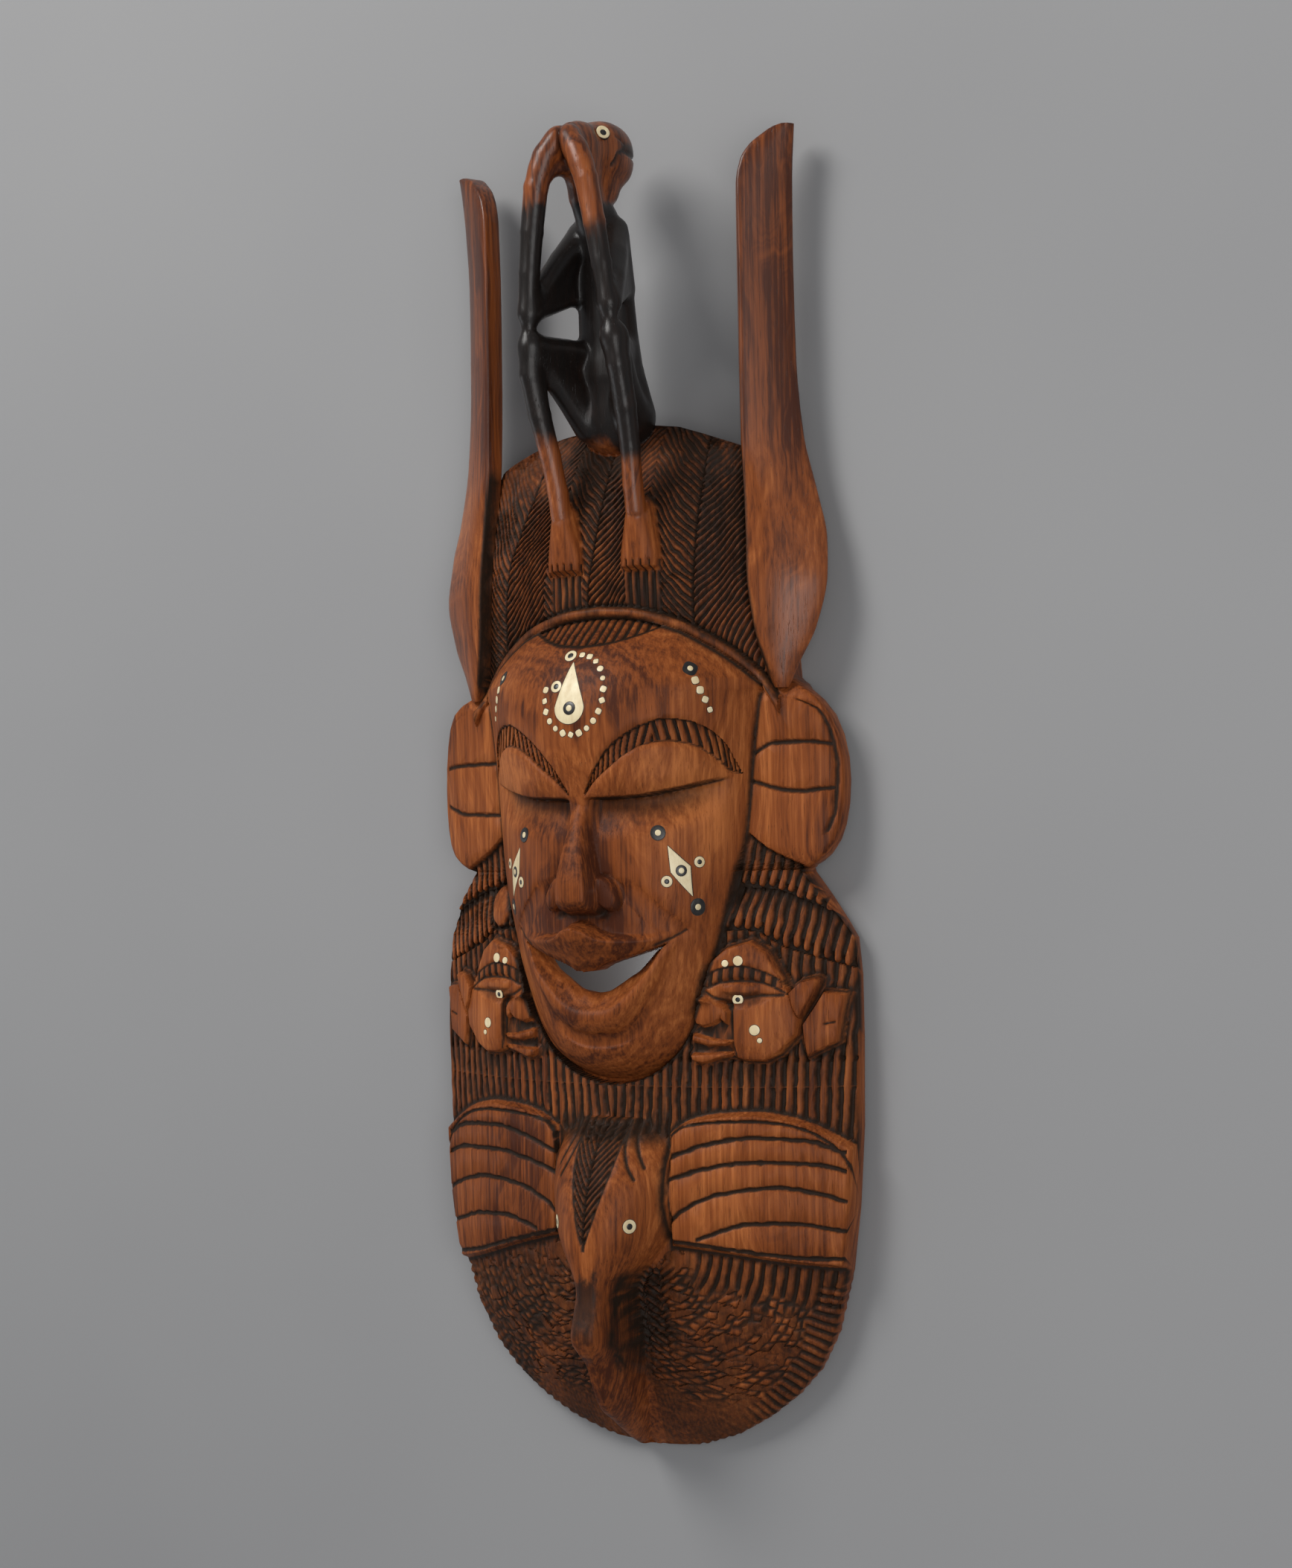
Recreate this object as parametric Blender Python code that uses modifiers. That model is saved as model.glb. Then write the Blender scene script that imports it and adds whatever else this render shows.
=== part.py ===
"""Carved hardwood wall mask, lying on its back.

The mask is one piece of wood, a half log hollowed from behind: two blade
horns, a seated figure on the headdress, a face, two ears, two small profile
faces, two wings, a bird's head and a rounded plate.  Bone and black inlays are
separate pegs let into pockets in the wood.

Frame: metres, Z up.  The mask lies with its back on Z = 0, its face looks up,
the horns point to +Y.  The profiles below are in millimetres on the carver's
own centre line, and MM brings them to metres.
"""
import math

import bmesh
import bpy
import numpy as np
from mathutils import Matrix, Vector

MM = 0.001
Y_MIDDLE = -3.85         # middle of the length on the carver's scale, moved to Y = 0
GAP = 0.3                # clearance between an inlay and its pocket
INLAY_DEPTH = 1.8        # how deep the pegs sit
INLAY_PROUD = 0.25       # how far they stand out
VOXEL = 2.0              # grain of the union of all the carved masses
WOOD_TRIANGLES = 5600    # faces left on the wood before its pockets are cut


# ---- helpers -------------------------------------------------------------
def smooth(t):
    t = np.clip(t, 0.0, 1.0)
    return t * t * (3.0 - 2.0 * t)


def along(x, stations):
    """Smooth monotone curve through a few named stations (position, value)."""
    xs = np.array([s[0] for s in stations], float)
    ys = np.array([s[1] for s in stations], float)
    h = np.diff(xs)
    d = np.diff(ys) / h
    m = np.zeros_like(ys)
    keep = d[:-1] * d[1:] > 0
    m[1:-1] = np.where(keep, 2 * d[:-1] * d[1:] / np.where(keep, d[:-1] + d[1:], 1.0), 0.0)
    m[0], m[-1] = d[0], d[-1]
    x = np.clip(np.asarray(x, float), xs[0], xs[-1])
    i = np.clip(np.searchsorted(xs, x) - 1, 0, len(xs) - 2)
    t = (x - xs[i]) / h[i]
    t2, t3 = t * t, t * t * t
    return ((2 * t3 - 3 * t2 + 1) * ys[i] + (t3 - 2 * t2 + t) * h[i] * m[i]
            + (-2 * t3 + 3 * t2) * ys[i + 1] + (t3 - t2) * h[i] * m[i + 1])


def smax(a, b, k):
    h = np.clip(0.5 + 0.5 * (a - b) / k, 0.0, 1.0)
    return b + (a - b) * h + k * h * (1.0 - h)


def smin(a, b, k):
    return -smax(-a, -b, k)


# ---- the carving's profiles, in millimetres --------------------------------
# half outline of plate, ears and headdress, from the bottom up: (x, y)
OUTLINE = [(0, -385.5), (30, -382.5), (55, -373), (76, -360), (93, -346), (107, -330), (118, -308),
           (126.5, -275), (131.5, -235), (134.5, -190), (135.5, -140), (135, -105), (133, -84), (127, -74),
           (117.5, -60), (106.5, -45.5), (110.5, -44.2), (116.5, -41), (122, -36), (126, -29), (128.6, -20),
           (130.2, -9), (130.8, 4), (130.2, 17), (128, 30), (124.3, 41), (118.8, 49.5), (112.5, 54.8), (106, 58.4),
           (101, 62), (98, 100), (94, 150), (89, 175), (81, 190), (72, 194),
           (56, 200), (39, 206), (20, 209), (0, 210)]

LOG_EDGE = [(-386, 8), (-335, 9), (-300, 11), (-270, 14), (-230, 16.5), (-140, 16), (-84, 13), (-60, 14),
            (-30, 21), (10, 20), (50, 21), (65, 24)]
HEAD_EDGE = [(55, 29), (104, 32), (150, 28), (187, 22), (210, 18)]
HEAD_CROWN = [(55, 50), (99, 60), (125, 62), (150, 60), (178, 51), (198, 40), (210, 30)]

FACE_HALF = [(-166, 0), (-165, 9), (-162, 20), (-156, 31), (-144, 43.5), (-127, 52.5), (-102, 60.5), (-80, 66.8),
             (-53, 73.6), (-18, 80.1), (14, 82.8), (40, 86), (55, 88.5)]
FACE_EDGE = [(-166, 41), (-144, 49), (-102, 50), (-80, 47.6), (-53, 45), (-18, 39.2), (14, 38), (58, 37),
             (76, 46), (91, 55), (101, 59)]
FACE_CROWN = [(-166, 42), (-161, 54), (-153, 66.5), (-142, 73), (-128, 77), (-115, 80.5), (-100, 83.5), (-75, 85.5),
              (-60, 85), (-30, 85), (-12, 87), (0, 90), (12, 93), (26, 95.8), (40, 96.4), (54, 94.3), (66, 90),
              (76, 84), (84, 77.5), (92, 69), (101, 60)]
FACE_POWER = [(-166, 2.2), (-120, 2.3), (-85, 2.5), (-61, 2.7), (-27, 2.5), (15, 2.35), (60, 2.2), (101, 2.0)]

BAND = [(0, 101.5), (20, 100), (35, 96.5), (48, 92), (60, 85.5), (74, 76), (86, 65), (94, 55), (99, 47)]


def band_y(x):
    return along(np.abs(x), BAND)


def log_level(x, y):
    """Hair, ear and plate level of the half log."""
    ax = np.abs(x)
    edge = along(y, LOG_EDGE)
    t = (ax / 136.0) ** 2.2 + (np.maximum(0.0, -240.0 - y) / 146.0) ** 2.6
    low = edge + (56.0 - edge) * np.clip(1.0 - t, -0.1, 1.0)
    ear = edge + 23.0 * (1.0 - (ax / 132.0) ** 2) + 3.0 * smooth((132.0 - ax) / 14.0)
    w = smooth((y + 72.0) / 36.0)
    body = low * (1 - w) + ear * w
    he = along(y, HEAD_EDGE)
    hc = along(y, HEAD_CROWN)
    head = he + (hc - he) * np.clip(1.0 - (ax / 95.0) ** 2.3, -0.15, 1.0)
    w2 = smooth((y - 48.0) / 14.0)
    return body * (1 - w2) + head * w2


def face_half(y):
    """Half width of the face at y; above the temples the headband closes it."""
    yy = np.asarray(y, float)
    low = along(yy, FACE_HALF)
    bx = np.array([b[0] for b in BAND], float)[::-1]
    by = np.array([b[1] for b in BAND], float)[::-1]
    top = along(yy, [(by[i], bx[i]) for i in range(len(by))])
    return np.where(yy > 55, np.minimum(top, 89.0), low)


def face_skin(x, y):
    w = np.maximum(face_half(y), 0.5)
    e = along(y, FACE_EDGE)
    c = along(y, FACE_CROWN)
    p = along(y, FACE_POWER)
    t = np.clip(np.abs(x) / w, 0, 1.3)
    return e + (c - e) * (1.0 - t ** p)


def in_face(x, y):
    """Signed: positive inside the face outline (about millimetres)."""
    w = face_half(y)
    return np.where(y > -166, w - np.abs(x), -1.0 - (-166 - y))


# ---- larger relief -----------------------------------------------------------
BROW_ARC = [(4, -2), (8, 5.5), (12, 12.5), (17, 19), (24, 26.5), (31, 31.8), (40, 37), (50, 40), (60, 38.6), (68, 34),
            (74, 26), (78, 14), (80, 8)]
LID_TOP = [(4, -3), (13, 6.5), (22, 13.5), (30, 19.5), (40, 24.8), (50, 26.6), (60, 24.5), (68, 18.5), (75, 9)]
LID_LOW = [(4, -3), (31, -2), (53, 2), (66, 5.5), (76, 8)]
NOSE_HALF = [(-68, 14), (-60, 15), (-52, 13.6), (-42, 12), (-25, 8.6), (-8, 6.4), (4, 5.4)]
NOSE_TOP = [(-68, 8.6), (-57, 9.0), (-46, 8.2), (-38, 7.0), (-25, 5.0), (-8, 3.6), (4, 3.0)]
NOSE_CREST = [(-68, 93), (-64, 98), (-59, 101.5), (-52, 101.5), (-38, 99.2), (-25, 95.2), (-8, 89), (4, 84)]
LIP_CREST = [(0, -75.5), (6, -77), (13, -81), (20, -82.7), (35, -83), (43, -82), (50, -79)]
HOLE_UP = [(0, -100), (4, -99.6), (9, -97), (14, -95), (25, -91.5), (38, -87), (43, -85), (50, -81)]
HOLE_LOW = [(0, -112.8), (8.5, -111.4), (15, -108), (21, -104), (27, -100), (33, -93.5), (39, -86.5), (43, -84)]
LIP_RIM = [(0, -121), (8, -120.4), (15, -117.6), (22, -112.5), (29, -105.2), (35, -98.5), (43, -86.5), (50, -80)]
LIP_BASE = [(0, -137), (12, -135.5), (20, -132), (30, -122), (40, -106), (47, -91), (53, -80)]

WING_TOP = [(32, -199), (38, -191), (50, -184), (66, -180.8), (84, -180), (100, -182.5), (112, -186.5), (124, -193),
            (136, -201)]
WING_LOW = [(30, -256), (45, -257.5), (70, -260.5), (104, -266), (136, -270)]
WING_SAG = [(30, 3), (50, 0), (90, -7), (136, -15)]      # the left wing hangs lower at its outer end
WING_IN = 36.0

BIRD_HALF = [(-386, 4), (-378, 6), (-365, 8.5), (-351, 10), (-335, 11), (-318, 12.5), (-308, 14), (-285, 13.4), (-276, 16.5),
             (-269, 22.5), (-262, 28.5), (-255, 33.3), (-247, 36.5), (-238, 38.2), (-226, 39), (-212, 38), (-198, 33), (-186, 25)]
BIRD_CROWN = [(-386, 12), (-378, 26), (-370, 38), (-360, 54), (-351, 68), (-335, 80), (-322, 86), (-313, 94), (-303, 98.5),
              (-292, 95), (-280, 92.5), (-250, 94), (-228, 90), (-210, 82), (-196, 72), (-184, 60)]
BIRD_FOOT = [(-386, 6), (-370, 14), (-340, 34), (-310, 44), (-280, 47), (-250, 54), (-220, 57), (-184, 52)]
BIRD_POWER = [(-386, 2.4), (-345, 3.4), (-318, 5.0), (-290, 5.0), (-276, 3.4), (-262, 2.6), (-245, 2.4), (-212, 2.3), (-184, 2.0)]
BIRD_BEND = [(-386, -8), (-370, -6), (-350, -2.5), (-330, -0.5), (-310, 0), (-184, 0)]

# outline of a small profile face, nose towards the big face: (x, y)
SMALL_FACE = [(84, -83), (70.5, -87), (61, -95), (57, -105), (54.5, -113), (53, -118), (51, -127.5), (53.5, -132),
              (50.5, -136), (49.5, -141.5), (51.5, -144), (48.8, -147.5), (50, -152.5), (58, -154), (68, -150.5),
              (74, -149.5), (80, -152), (91, -152.5), (99, -148), (108.5, -137), (109.8, -128), (104.5, -112),
              (99, -101), (93.5, -90)]
SMALL_NOSE = [(54.3, -113.5), (51.9, -122.9), (51.3, -127.8), (52.6, -130.6), (58.4, -132.3), (65.4, -130.5), (68.0, -128.2),
              (71.9, -131.2), (72.7, -123.9), (70.0, -119.5), (62.0, -116.5)]
SMALL_LIP = [(50.2, -135.1), (54.9, -136.3), (65.4, -138.8), (74.9, -139.6), (71.3, -142.3), (60.7, -142.6), (50.9, -140.3)]
SMALL_CHIN = [(49.2, -146.9), (60.7, -146.6), (74.9, -145.9), (71.9, -149.4), (60.7, -152.4), (54.9, -153.9), (50.4, -151.2)]
SMALL_EAR_IN = [(102.5, -113), (109, -106), (117, -104), (120, -106.5), (117, -115), (111.5, -125), (108.6, -130.5),
                (104.5, -122)]
SMALL_EAR_OUT = [(119.5, -112), (127, -113), (132.5, -114), (130.5, -123), (128, -141.5), (120.5, -145.5),
                 (111.5, -150.5), (109.6, -142), (108.6, -131), (114, -122)]


def polygon_distance(x, y, points):
    """Distance to a closed outline, positive inside."""
    px = np.array([p[0] for p in points], float)
    py = np.array([p[1] for p in points], float)
    best = np.full(np.shape(x), 1e9)
    inside = np.zeros(np.shape(x), bool)
    n = len(px)
    for i in range(n):
        ax, ay = px[i], py[i]
        bx, by = px[(i + 1) % n], py[(i + 1) % n]
        ex, ey = bx - ax, by - ay
        t = np.clip(((x - ax) * ex + (y - ay) * ey) / (ex * ex + ey * ey), 0.0, 1.0)
        d = (x - ax - t * ex) ** 2 + (y - ay - t * ey) ** 2
        best = np.minimum(best, d)
        cross = ((ay > y) != (by > y)) & (x < (bx - ax) * (y - ay) / (by - ay if by != ay else 1e-9) + ax)
        inside ^= cross
    best = np.sqrt(best)
    return np.where(inside, best, -best)


def full_outline():
    right = [(float(a), float(b)) for a, b in OUTLINE]
    left = [(-a, b) for a, b in right[::-1] if a > 0]
    return right + left


def bump(d, width):
    """Round ridge over a distance."""
    return np.sqrt(np.clip(1.0 - (d / width) ** 2, 0.0, 1.0))


def wing_distance(x, y):
    ax = np.abs(x)
    top = along(ax, WING_TOP)
    low = wing_low(x)
    return np.minimum(np.minimum(top - y, y - low) * 0.93, ax - WING_IN)


def wing_low(x):
    """Lower edge of the two wings."""
    ax = np.clip(np.abs(x), 30.0, 136.0)
    return along(ax, WING_LOW) + np.where(x < 0, along(ax, WING_SAG), 0.0)


def bird(x, y):
    """Head and long bill: the bill is a slab with a flat front that bends a little at its tip."""
    w = along(y, BIRD_HALF)
    a = np.abs(x - along(y, BIRD_BEND))
    t = a / w
    top = along(y, BIRD_CROWN)
    foot = along(y, BIRD_FOOT)
    z = foot + (top - foot) * (1.0 - np.clip(t, 0, 1.4) ** along(y, BIRD_POWER))
    # scooped flank with a raised lower edge
    low = smooth((-308.0 - y) / 10.0) * smooth((y + 378.0) / 16.0)
    z = z + low * (5.5 * bump(a - w - 0.5, 3.4) - 3.5 * bump(a - w * 0.62, 4.0) * smooth((y + 366.0) / 14.0))
    return np.where((t < 1.25 + 0.2 * low) & (y < -184.5), z, -50.0)


def face_relief(x, y):
    """Brows, lids, nose, lips and chin on the face's skin."""
    ax = np.abs(x)
    z = face_skin(x, y)
    # brow band, a step down between forehead and lid
    arc = along(ax, BROW_ARC)
    lid_t = along(ax, LID_TOP)
    lid_l = along(ax, LID_LOW)
    in_x = smooth((ax - 5.0) / 3.0) * smooth((80.0 - ax) / 3.0)
    band = smooth((arc - y) / 1.5) * smooth((y - lid_t) / 1.5)
    z = z - 1.6 * band * in_x
    # closed lid stands a little proud and overhangs the socket
    lid = smooth((lid_t - y) / 3.0) * smooth((y - lid_l + 0.5) / 1.0) * smooth((ax - 5) / 4.0) * smooth((77.0 - ax) / 4.0)
    z = z + 1.0 * lid
    s = lid_l - y
    socket = smooth(s / 1.6) * (1.0 - smooth((s - 1.0) / 25.0))
    fade = smooth((ax - 4.0) / 7.0) * smooth((79.0 - ax) / 22.0)
    z = z - 9.0 * socket * fade
    # nose: crisp ridge, flat flanks, small wings, cut off below
    half = along(y, NOSE_HALF)
    flat = along(y, NOSE_TOP)
    rise = np.maximum(along(y, NOSE_CREST) - face_skin(0.0 * x, y), 0.0)
    t = np.clip((ax - flat) / (half - flat), 0.0, 1.0)
    cut = smooth((y + 69.0) / 5.0)
    nose = rise * (1.0 - t) ** 1.2 - 1.2 * np.clip(ax / flat, 0.0, 1.0) ** 2
    wing = np.minimum(8.0 * bump(np.hypot(ax - 15.5, (y + 56.0) * 0.85 + 0.45 * (ax - 15.5)), 8.0), 5.6)
    z = np.where((y > -72) & (y < 4), z + np.maximum(nose, wing) * cut, z)
    # fold from nostril to mouth corner
    fold = np.abs((ax - 25.0) - 0.95 * (-52.0 - y)) / 1.4
    z = z - 1.4 * bump(fold, 6.0) * smooth((-46.0 - y) / 8.0) * smooth((y + 84.0) / 10.0)
    # upper lip: a beaked crest that slopes back down to the opening
    crest = along(ax, LIP_CREST)
    up = along(ax, HOLE_UP)
    amount = 18.0 * np.clip(1.0 - ax / 50.0, 0.0, 1.0) ** 1.25
    s = np.clip((crest - y) / np.maximum(crest - up, 1.0), 0.0, 1.0)
    above = 1.0 - smooth((y - crest) / 5.0)
    lip = np.where(y > crest, amount * above, amount * (1.0 - 0.86 * s ** 1.1))
    z = np.where((ax < 50) & (y < crest + 8) & (y > up - 0.01), z + lip, z)
    # mouth cavity and lower lip
    rim = along(ax, LIP_RIM)
    low = along(ax, HOLE_LOW)
    base = along(ax, LIP_BASE)
    inside = (ax < 50) & (y <= up) & (y > rim)
    depth = np.clip((y - rim) / np.maximum(low - rim, 0.8), 0.0, 1.3)
    z = np.where(inside, z - 9.0 * depth * smooth((50.0 - ax) / 8.0), z)
    s = (rim - y) / np.maximum(rim - base, 0.8)
    lower = np.where((s >= 0) & (s <= 1), np.sin(np.pi * np.clip(s, 0, 1) ** 0.8), 0.0)
    z = z + np.where(ax < 53, 4.2 * lower * smooth((53.0 - ax) / 18.0), 0.0)
    under = bump((y - (base - 2.5)) / 1.0, 5.0) * smooth((34.0 - ax) / 20.0)
    z = z - 2.6 * under
    return z


def small_faces(x, y):
    """Height added by the two profile faces and their ears."""
    ax = np.abs(x)
    near = (ax > 40) & (ax < 140) & (y > -165) & (y < -75)
    add = np.zeros(np.shape(x))
    if not np.any(near):
        return add
    a, b = ax[near], y[near]
    d = polygon_distance(a, b, SMALL_FACE)
    r = 6.0 * smooth(d / 2.4) + 1.5 * smooth((d - 2) / 9.0)
    # nose and lips keep their own planes, the cheek stands in front of them
    front = smooth((75.6 - a) / 1.6) * smooth((-116.5 - b) / 3.0)
    r = r - 4.6 * front * smooth(d / 1.6)
    r = r + 4.4 * smooth(polygon_distance(a, b, SMALL_NOSE) / 2.0 + 0.2)
    r = r + 3.6 * smooth(polygon_distance(a, b, SMALL_LIP) / 1.6 + 0.2)
    r = r + 3.6 * smooth(polygon_distance(a, b, SMALL_CHIN) / 2.0 + 0.2)
    # eye socket under a notched brow
    brow_y = -107.0 - 0.020 * (a - 78.0) ** 2
    socket = bump(np.hypot((a - 78.0) / 2.1, b + 113.0), 9.0)
    r = r - 2.2 * socket
    lid = bump(np.hypot((a - 79.0) / 2.6, b + 111.0), 3.8)
    r = r + 2.4 * lid
    e1 = polygon_distance(a, b, SMALL_EAR_IN)
    r = np.maximum(r, 8.0 * smooth(e1 / 2.0))
    e2 = polygon_distance(a, b, SMALL_EAR_OUT)
    r = np.maximum(r, 5.0 * smooth(e2 / 2.0))
    add[near] = r
    return add


def foot_half(y):
    """Half width of the figure's feet, flaring from the ankle to the toes."""
    return 6.3 + 5.6 * smooth((172.0 - y) / 48.0)


def front(x, y):
    """Front surface of the carved board, without the fine grooves."""
    x = np.asarray(x, float)
    y = np.asarray(y, float)
    ax = np.abs(x)
    z = log_level(x, y)
    z = z + small_faces(x, y)
    wd = wing_distance(x, y)
    z = z + 5.5 * smooth(wd / 2.5)
    z = smax(z, bird(x, y), 1.5)
    # knot of hair above the left small face, beside the cheek
    tuft = bump(np.hypot((x + 76.0) / 1.0, (y + 70.0) / 1.9), 10.5)
    z = z + 3.0 * tuft
    # headband
    by = band_y(x)
    d = (y - by) * np.cos(np.arctan(np.clip((ax - 10.0) / 62.0, 0.0, 1.6)))
    z = z + 3.4 * bump(d, 3.0) * (ax < 99.5)
    for side in (-1.0, 1.0):
        fx = x - side * 24.0 - figure_shift(y)
        fw = foot_half(y)
        fd = np.minimum(y - 123.5, 172.0 - y)
        roof = np.clip(1.0 - (np.abs(fx) / fw) ** 2.4, 0.0, 1.0)
        high = (6.5 + 5.5 * smooth((y - 126.0) / 34.0)) * smooth((173.0 - y) / 20.0)
        z = z + high * roof ** 0.6 * smooth(fd / 3.0 + 0.1)
    inside = in_face(x, y)
    face = face_relief(x, y)
    ok = (inside > 0) & (y < by - 2.2)
    z = np.where(ok, np.maximum(face, z - 8.0), z)
    # hair lens under the band
    lens_low = along(ax, [(0, 81), (15, 82.5), (30, 87), (42, 93), (47, 96)])
    lens = smooth((y - lens_low) / 1.5) * smooth((by - 2.6 - y) / 1.2) * (ax < 46)
    z = z - 2.2 * lens
    return z


def board(x, y):
    """Smooth front level that the hollow back follows."""
    z = log_level(x, y)
    face = face_skin(x, np.minimum(y, 100.0))
    w = smooth((in_face(x, y) - 2.0) / 10.0) * smooth((96.0 - y) / 12.0)
    z = z * (1 - w) + face * w
    hump = bird(x, y)
    z = np.maximum(z, np.minimum(hump - 6.0, 74.0))
    return z


WALL = 15.0
RIM = 12.0


def back(x, y, inner):
    """Back surface; inner is the distance inside the outline."""
    ax = np.abs(x)
    hollow = np.clip(board(x, y) - WALL, 0.0, 76.0)
    b = hollow * smooth((inner - RIM) / 16.0)
    edge = 6.0 * (1.0 - smooth(inner / 9.0))
    b = np.maximum(b, edge)
    # ears: thin leaves that stand off the head's side wall
    leaf = smooth((ax - 99.0) / 4.0) * smooth((y + 47.0) / 4.0) * smooth((60.0 - y) / 5.0)
    wall = smooth((99.0 - ax) / 4.0) * smooth((ax - 84.0) / 4.0) * smooth((y + 60.0) / 8.0)
    b = b * (1.0 - wall * (1.0 - leaf))
    b = np.maximum(b, leaf * np.clip(log_level(x, y) - 12.0, 0.0, 30.0))
    return b


# ---- horns: inner and outer front edges along y: (y, x, z) ---------------------
HORN_IN = [(56, 98, 35), (70, 94, 40), (90, 89.5, 45), (118, 86.8, 47.8), (140, 86, 46), (163, 84.5, 44), (198, 82.8, 42),
           (240, 82.3, 41), (300, 82.0, 40.5), (335, 82.0, 41), (347, 84.0, 39.8), (355, 88, 37), (361.5, 94.5, 32.5),
           (365, 99, 29.5), (366.5, 102.5, 27.5)]
HORN_OUT = [(56, 104, 30), (70, 110, 28), (90, 119.3, 24.8), (118, 125.4, 22.3), (140, 124, 18.6), (163, 118.5, 17.2),
            (198, 110.8, 18.8), (240, 107.5, 19.5), (300, 106.7, 19.6), (335, 107.6, 21), (347, 108.2, 21.6),
            (356, 108.9, 22), (362, 109.3, 22.3), (366.5, 109.6, 22.6)]
HORN_THICK = 11.0

# ---- the seated figure: chains of (x, y, z, radius) -----------------------------
ARM = [(3.5, 359.5, 88.5, 5.3), (9.5, 351, 91, 6.0), (15.5, 334, 91.5, 6.3), (19.5, 310, 90.5, 5.9), (22.5, 288, 89.5, 5.4),
       (25, 266, 88.5, 5.0), (26, 257, 88, 4.0)]
UPPER_ARM = [(8.5, 311, 54, 7.5), (16, 298, 64, 6.6), (21, 284, 75, 6.0), (25, 269, 86, 5.2)]
THIGH = [(9, 247, 48, 6.5), (16, 248, 62, 5.6), (23, 248.5, 78, 5.2), (26, 249, 85, 6.0)]
THIGH_LOW = [(13, 212, 44, 11.0), (17, 226, 58, 7.5), (22, 238, 72, 6.4), (26, 247, 84, 6.4)]
SHIN = [(26.5, 250, 86, 6.6), (27.5, 234, 84, 6.8), (27.2, 212, 78, 6.2), (25.5, 190, 71, 5.6), (24, 170, 67, 5.6),
        (24, 156, 64, 6.0)]
FACE = [(0, 357, 72, 10.5), (0, 345, 69, 9.5), (0, 333, 65, 9.0), (0, 320, 57, 9.0), (0, 308, 50, 12.0)]
TORSO = [(0, 331, 54, 6.8), (0, 321.5, 51.5, 12.2), (0, 310, 48, 15.8), (0, 286, 44.5, 16.4), (0, 258, 43, 17.5),
         (0, 236, 42, 19.5), (0, 214, 37, 23.0)]
TORSO_DEPTH = 0.80
# webs left between the limbs: three corners and a radius
SHEETS = [((4, 359, 88), (13, 343, 91), (1, 349, 74), 4.8),
          ((13, 316, 52), (25, 267, 86), (14, 284, 48), 5.2),
          ((26, 249, 85), (13, 250, 48), (14, 206, 50), 5.4)]
# head: centre, half sizes, squareness
HEAD = [((0, 359.2, 46), (16.6, 18.1, 20), 2.5), ((0, 343.5, 50), (11.2, 14.5, 15), 2.2), ((0, 357, 66), (11.5, 15.5, 23), 2.3)]


def figure_shift(y):
    """The whole figure leans: its feet stand a little to one side."""
    return 3.8 * (1.0 - smooth((np.asarray(y, float) - 140.0) / 180.0))


# ---- inlays: name, x, y, radius, tone (bone or black); mirrored unless single ----
MIRRORED_INLAYS = [
    ("temple_ring", 60.2, 67.0, 3.8, "black"),
    ("temple_dot_1", 63.4, 60.4, 2.1, "bone"), ("temple_dot_2", 65.6, 55.0, 2.1, "bone"),
    ("temple_dot_3", 67.6, 49.8, 1.8, "bone"), ("temple_dot_4", 69.3, 44.2, 1.5, "bone"),
    ("cheek_ring_upper", 43.0, -23.0, 4.0, "black"),
    ("cheek_ring_outer", 61.3, -39.6, 3.0, "bone"), ("cheek_ring_inner", 46.9, -50.0, 3.1, "bone"),
    ("cheek_ring_lower", 59.6, -64.6, 4.1, "black"),
    ("small_face_brow_dot_1", 78.6, -95.0, 2.7, "bone"), ("small_face_brow_dot_2", 71.6, -96.4, 1.9, "bone"),
    ("small_face_eye", 77.8, -116.6, 3.0, "bone"),
    ("small_face_cheek_dot_1", 87.0, -133.6, 2.9, "bone"), ("small_face_cheek_dot_2", 89.6, -139.4, 1.4, "bone"),
    ("bird_eye", 23.2, -242.0, 3.9, "bone"),
]
FOREHEAD_RINGS = [("forehead_ring_upper", -4.9, 76.2, 3.6), ("forehead_ring_side", -9.6, 59.0, 3.4)]
DOT_OVAL = (1.5, 54.2, 18.3, 22.2)
DOT_COUNT = 18
DOT_START, DOT_STEP = 87.0, -16.2
DOT_RADIUS = 1.75
TEARDROP = (0.0, 37.9, 9.2, 72.5)
LOZENGE = [(47.6, -30.2), (57.6, -41.8), (58.0, -58.6), (48.9, -45.0)]
LOZENGE_RING = (53.5, -44.2, 2.9)
TEAR_RING = (0.3, 46.6, 3.5)
FIGURE_EYE = ((11.6, 366.6, 64.0), (0.74, 0.30, 0.60), 3.8)


def dot_places():
    cx, cy, rx, ry = DOT_OVAL
    out = []
    for i in range(DOT_COUNT):
        a = np.radians(DOT_START + DOT_STEP * i)
        out.append((cx + rx * np.cos(a), cy + ry * np.sin(a)))
    return out


def tear_outline(steps=24, grow=0.0):
    """Teardrop with its point up and curled a little to one side."""
    cx, low, half, tip = TEARDROP
    pts = []
    cy = low + half
    for i in range(steps):
        a = -np.pi / 2 + 2 * np.pi * i / steps
        s = np.sin(a)
        x = (half + grow) * np.cos(a)
        y = (half + grow) * s
        if s > 0:
            k = s ** 2.2
            x = x * (1.0 - s) ** 0.42 * (1.0 + 0.25 * s)
            y = y + (tip - cy - half) * k
        pts.append((cx + x - 1.6 * max(s, 0.0) ** 3, cy + y))
    return pts


# ---- modelling helpers -----------------------------------------------------------
def clear_scene():
    for ob in list(bpy.data.objects):
        bpy.data.objects.remove(ob, do_unlink=True)


def collection(name):
    col = bpy.data.collections.new(name)
    bpy.context.scene.collection.children.link(col)
    return col


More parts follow.
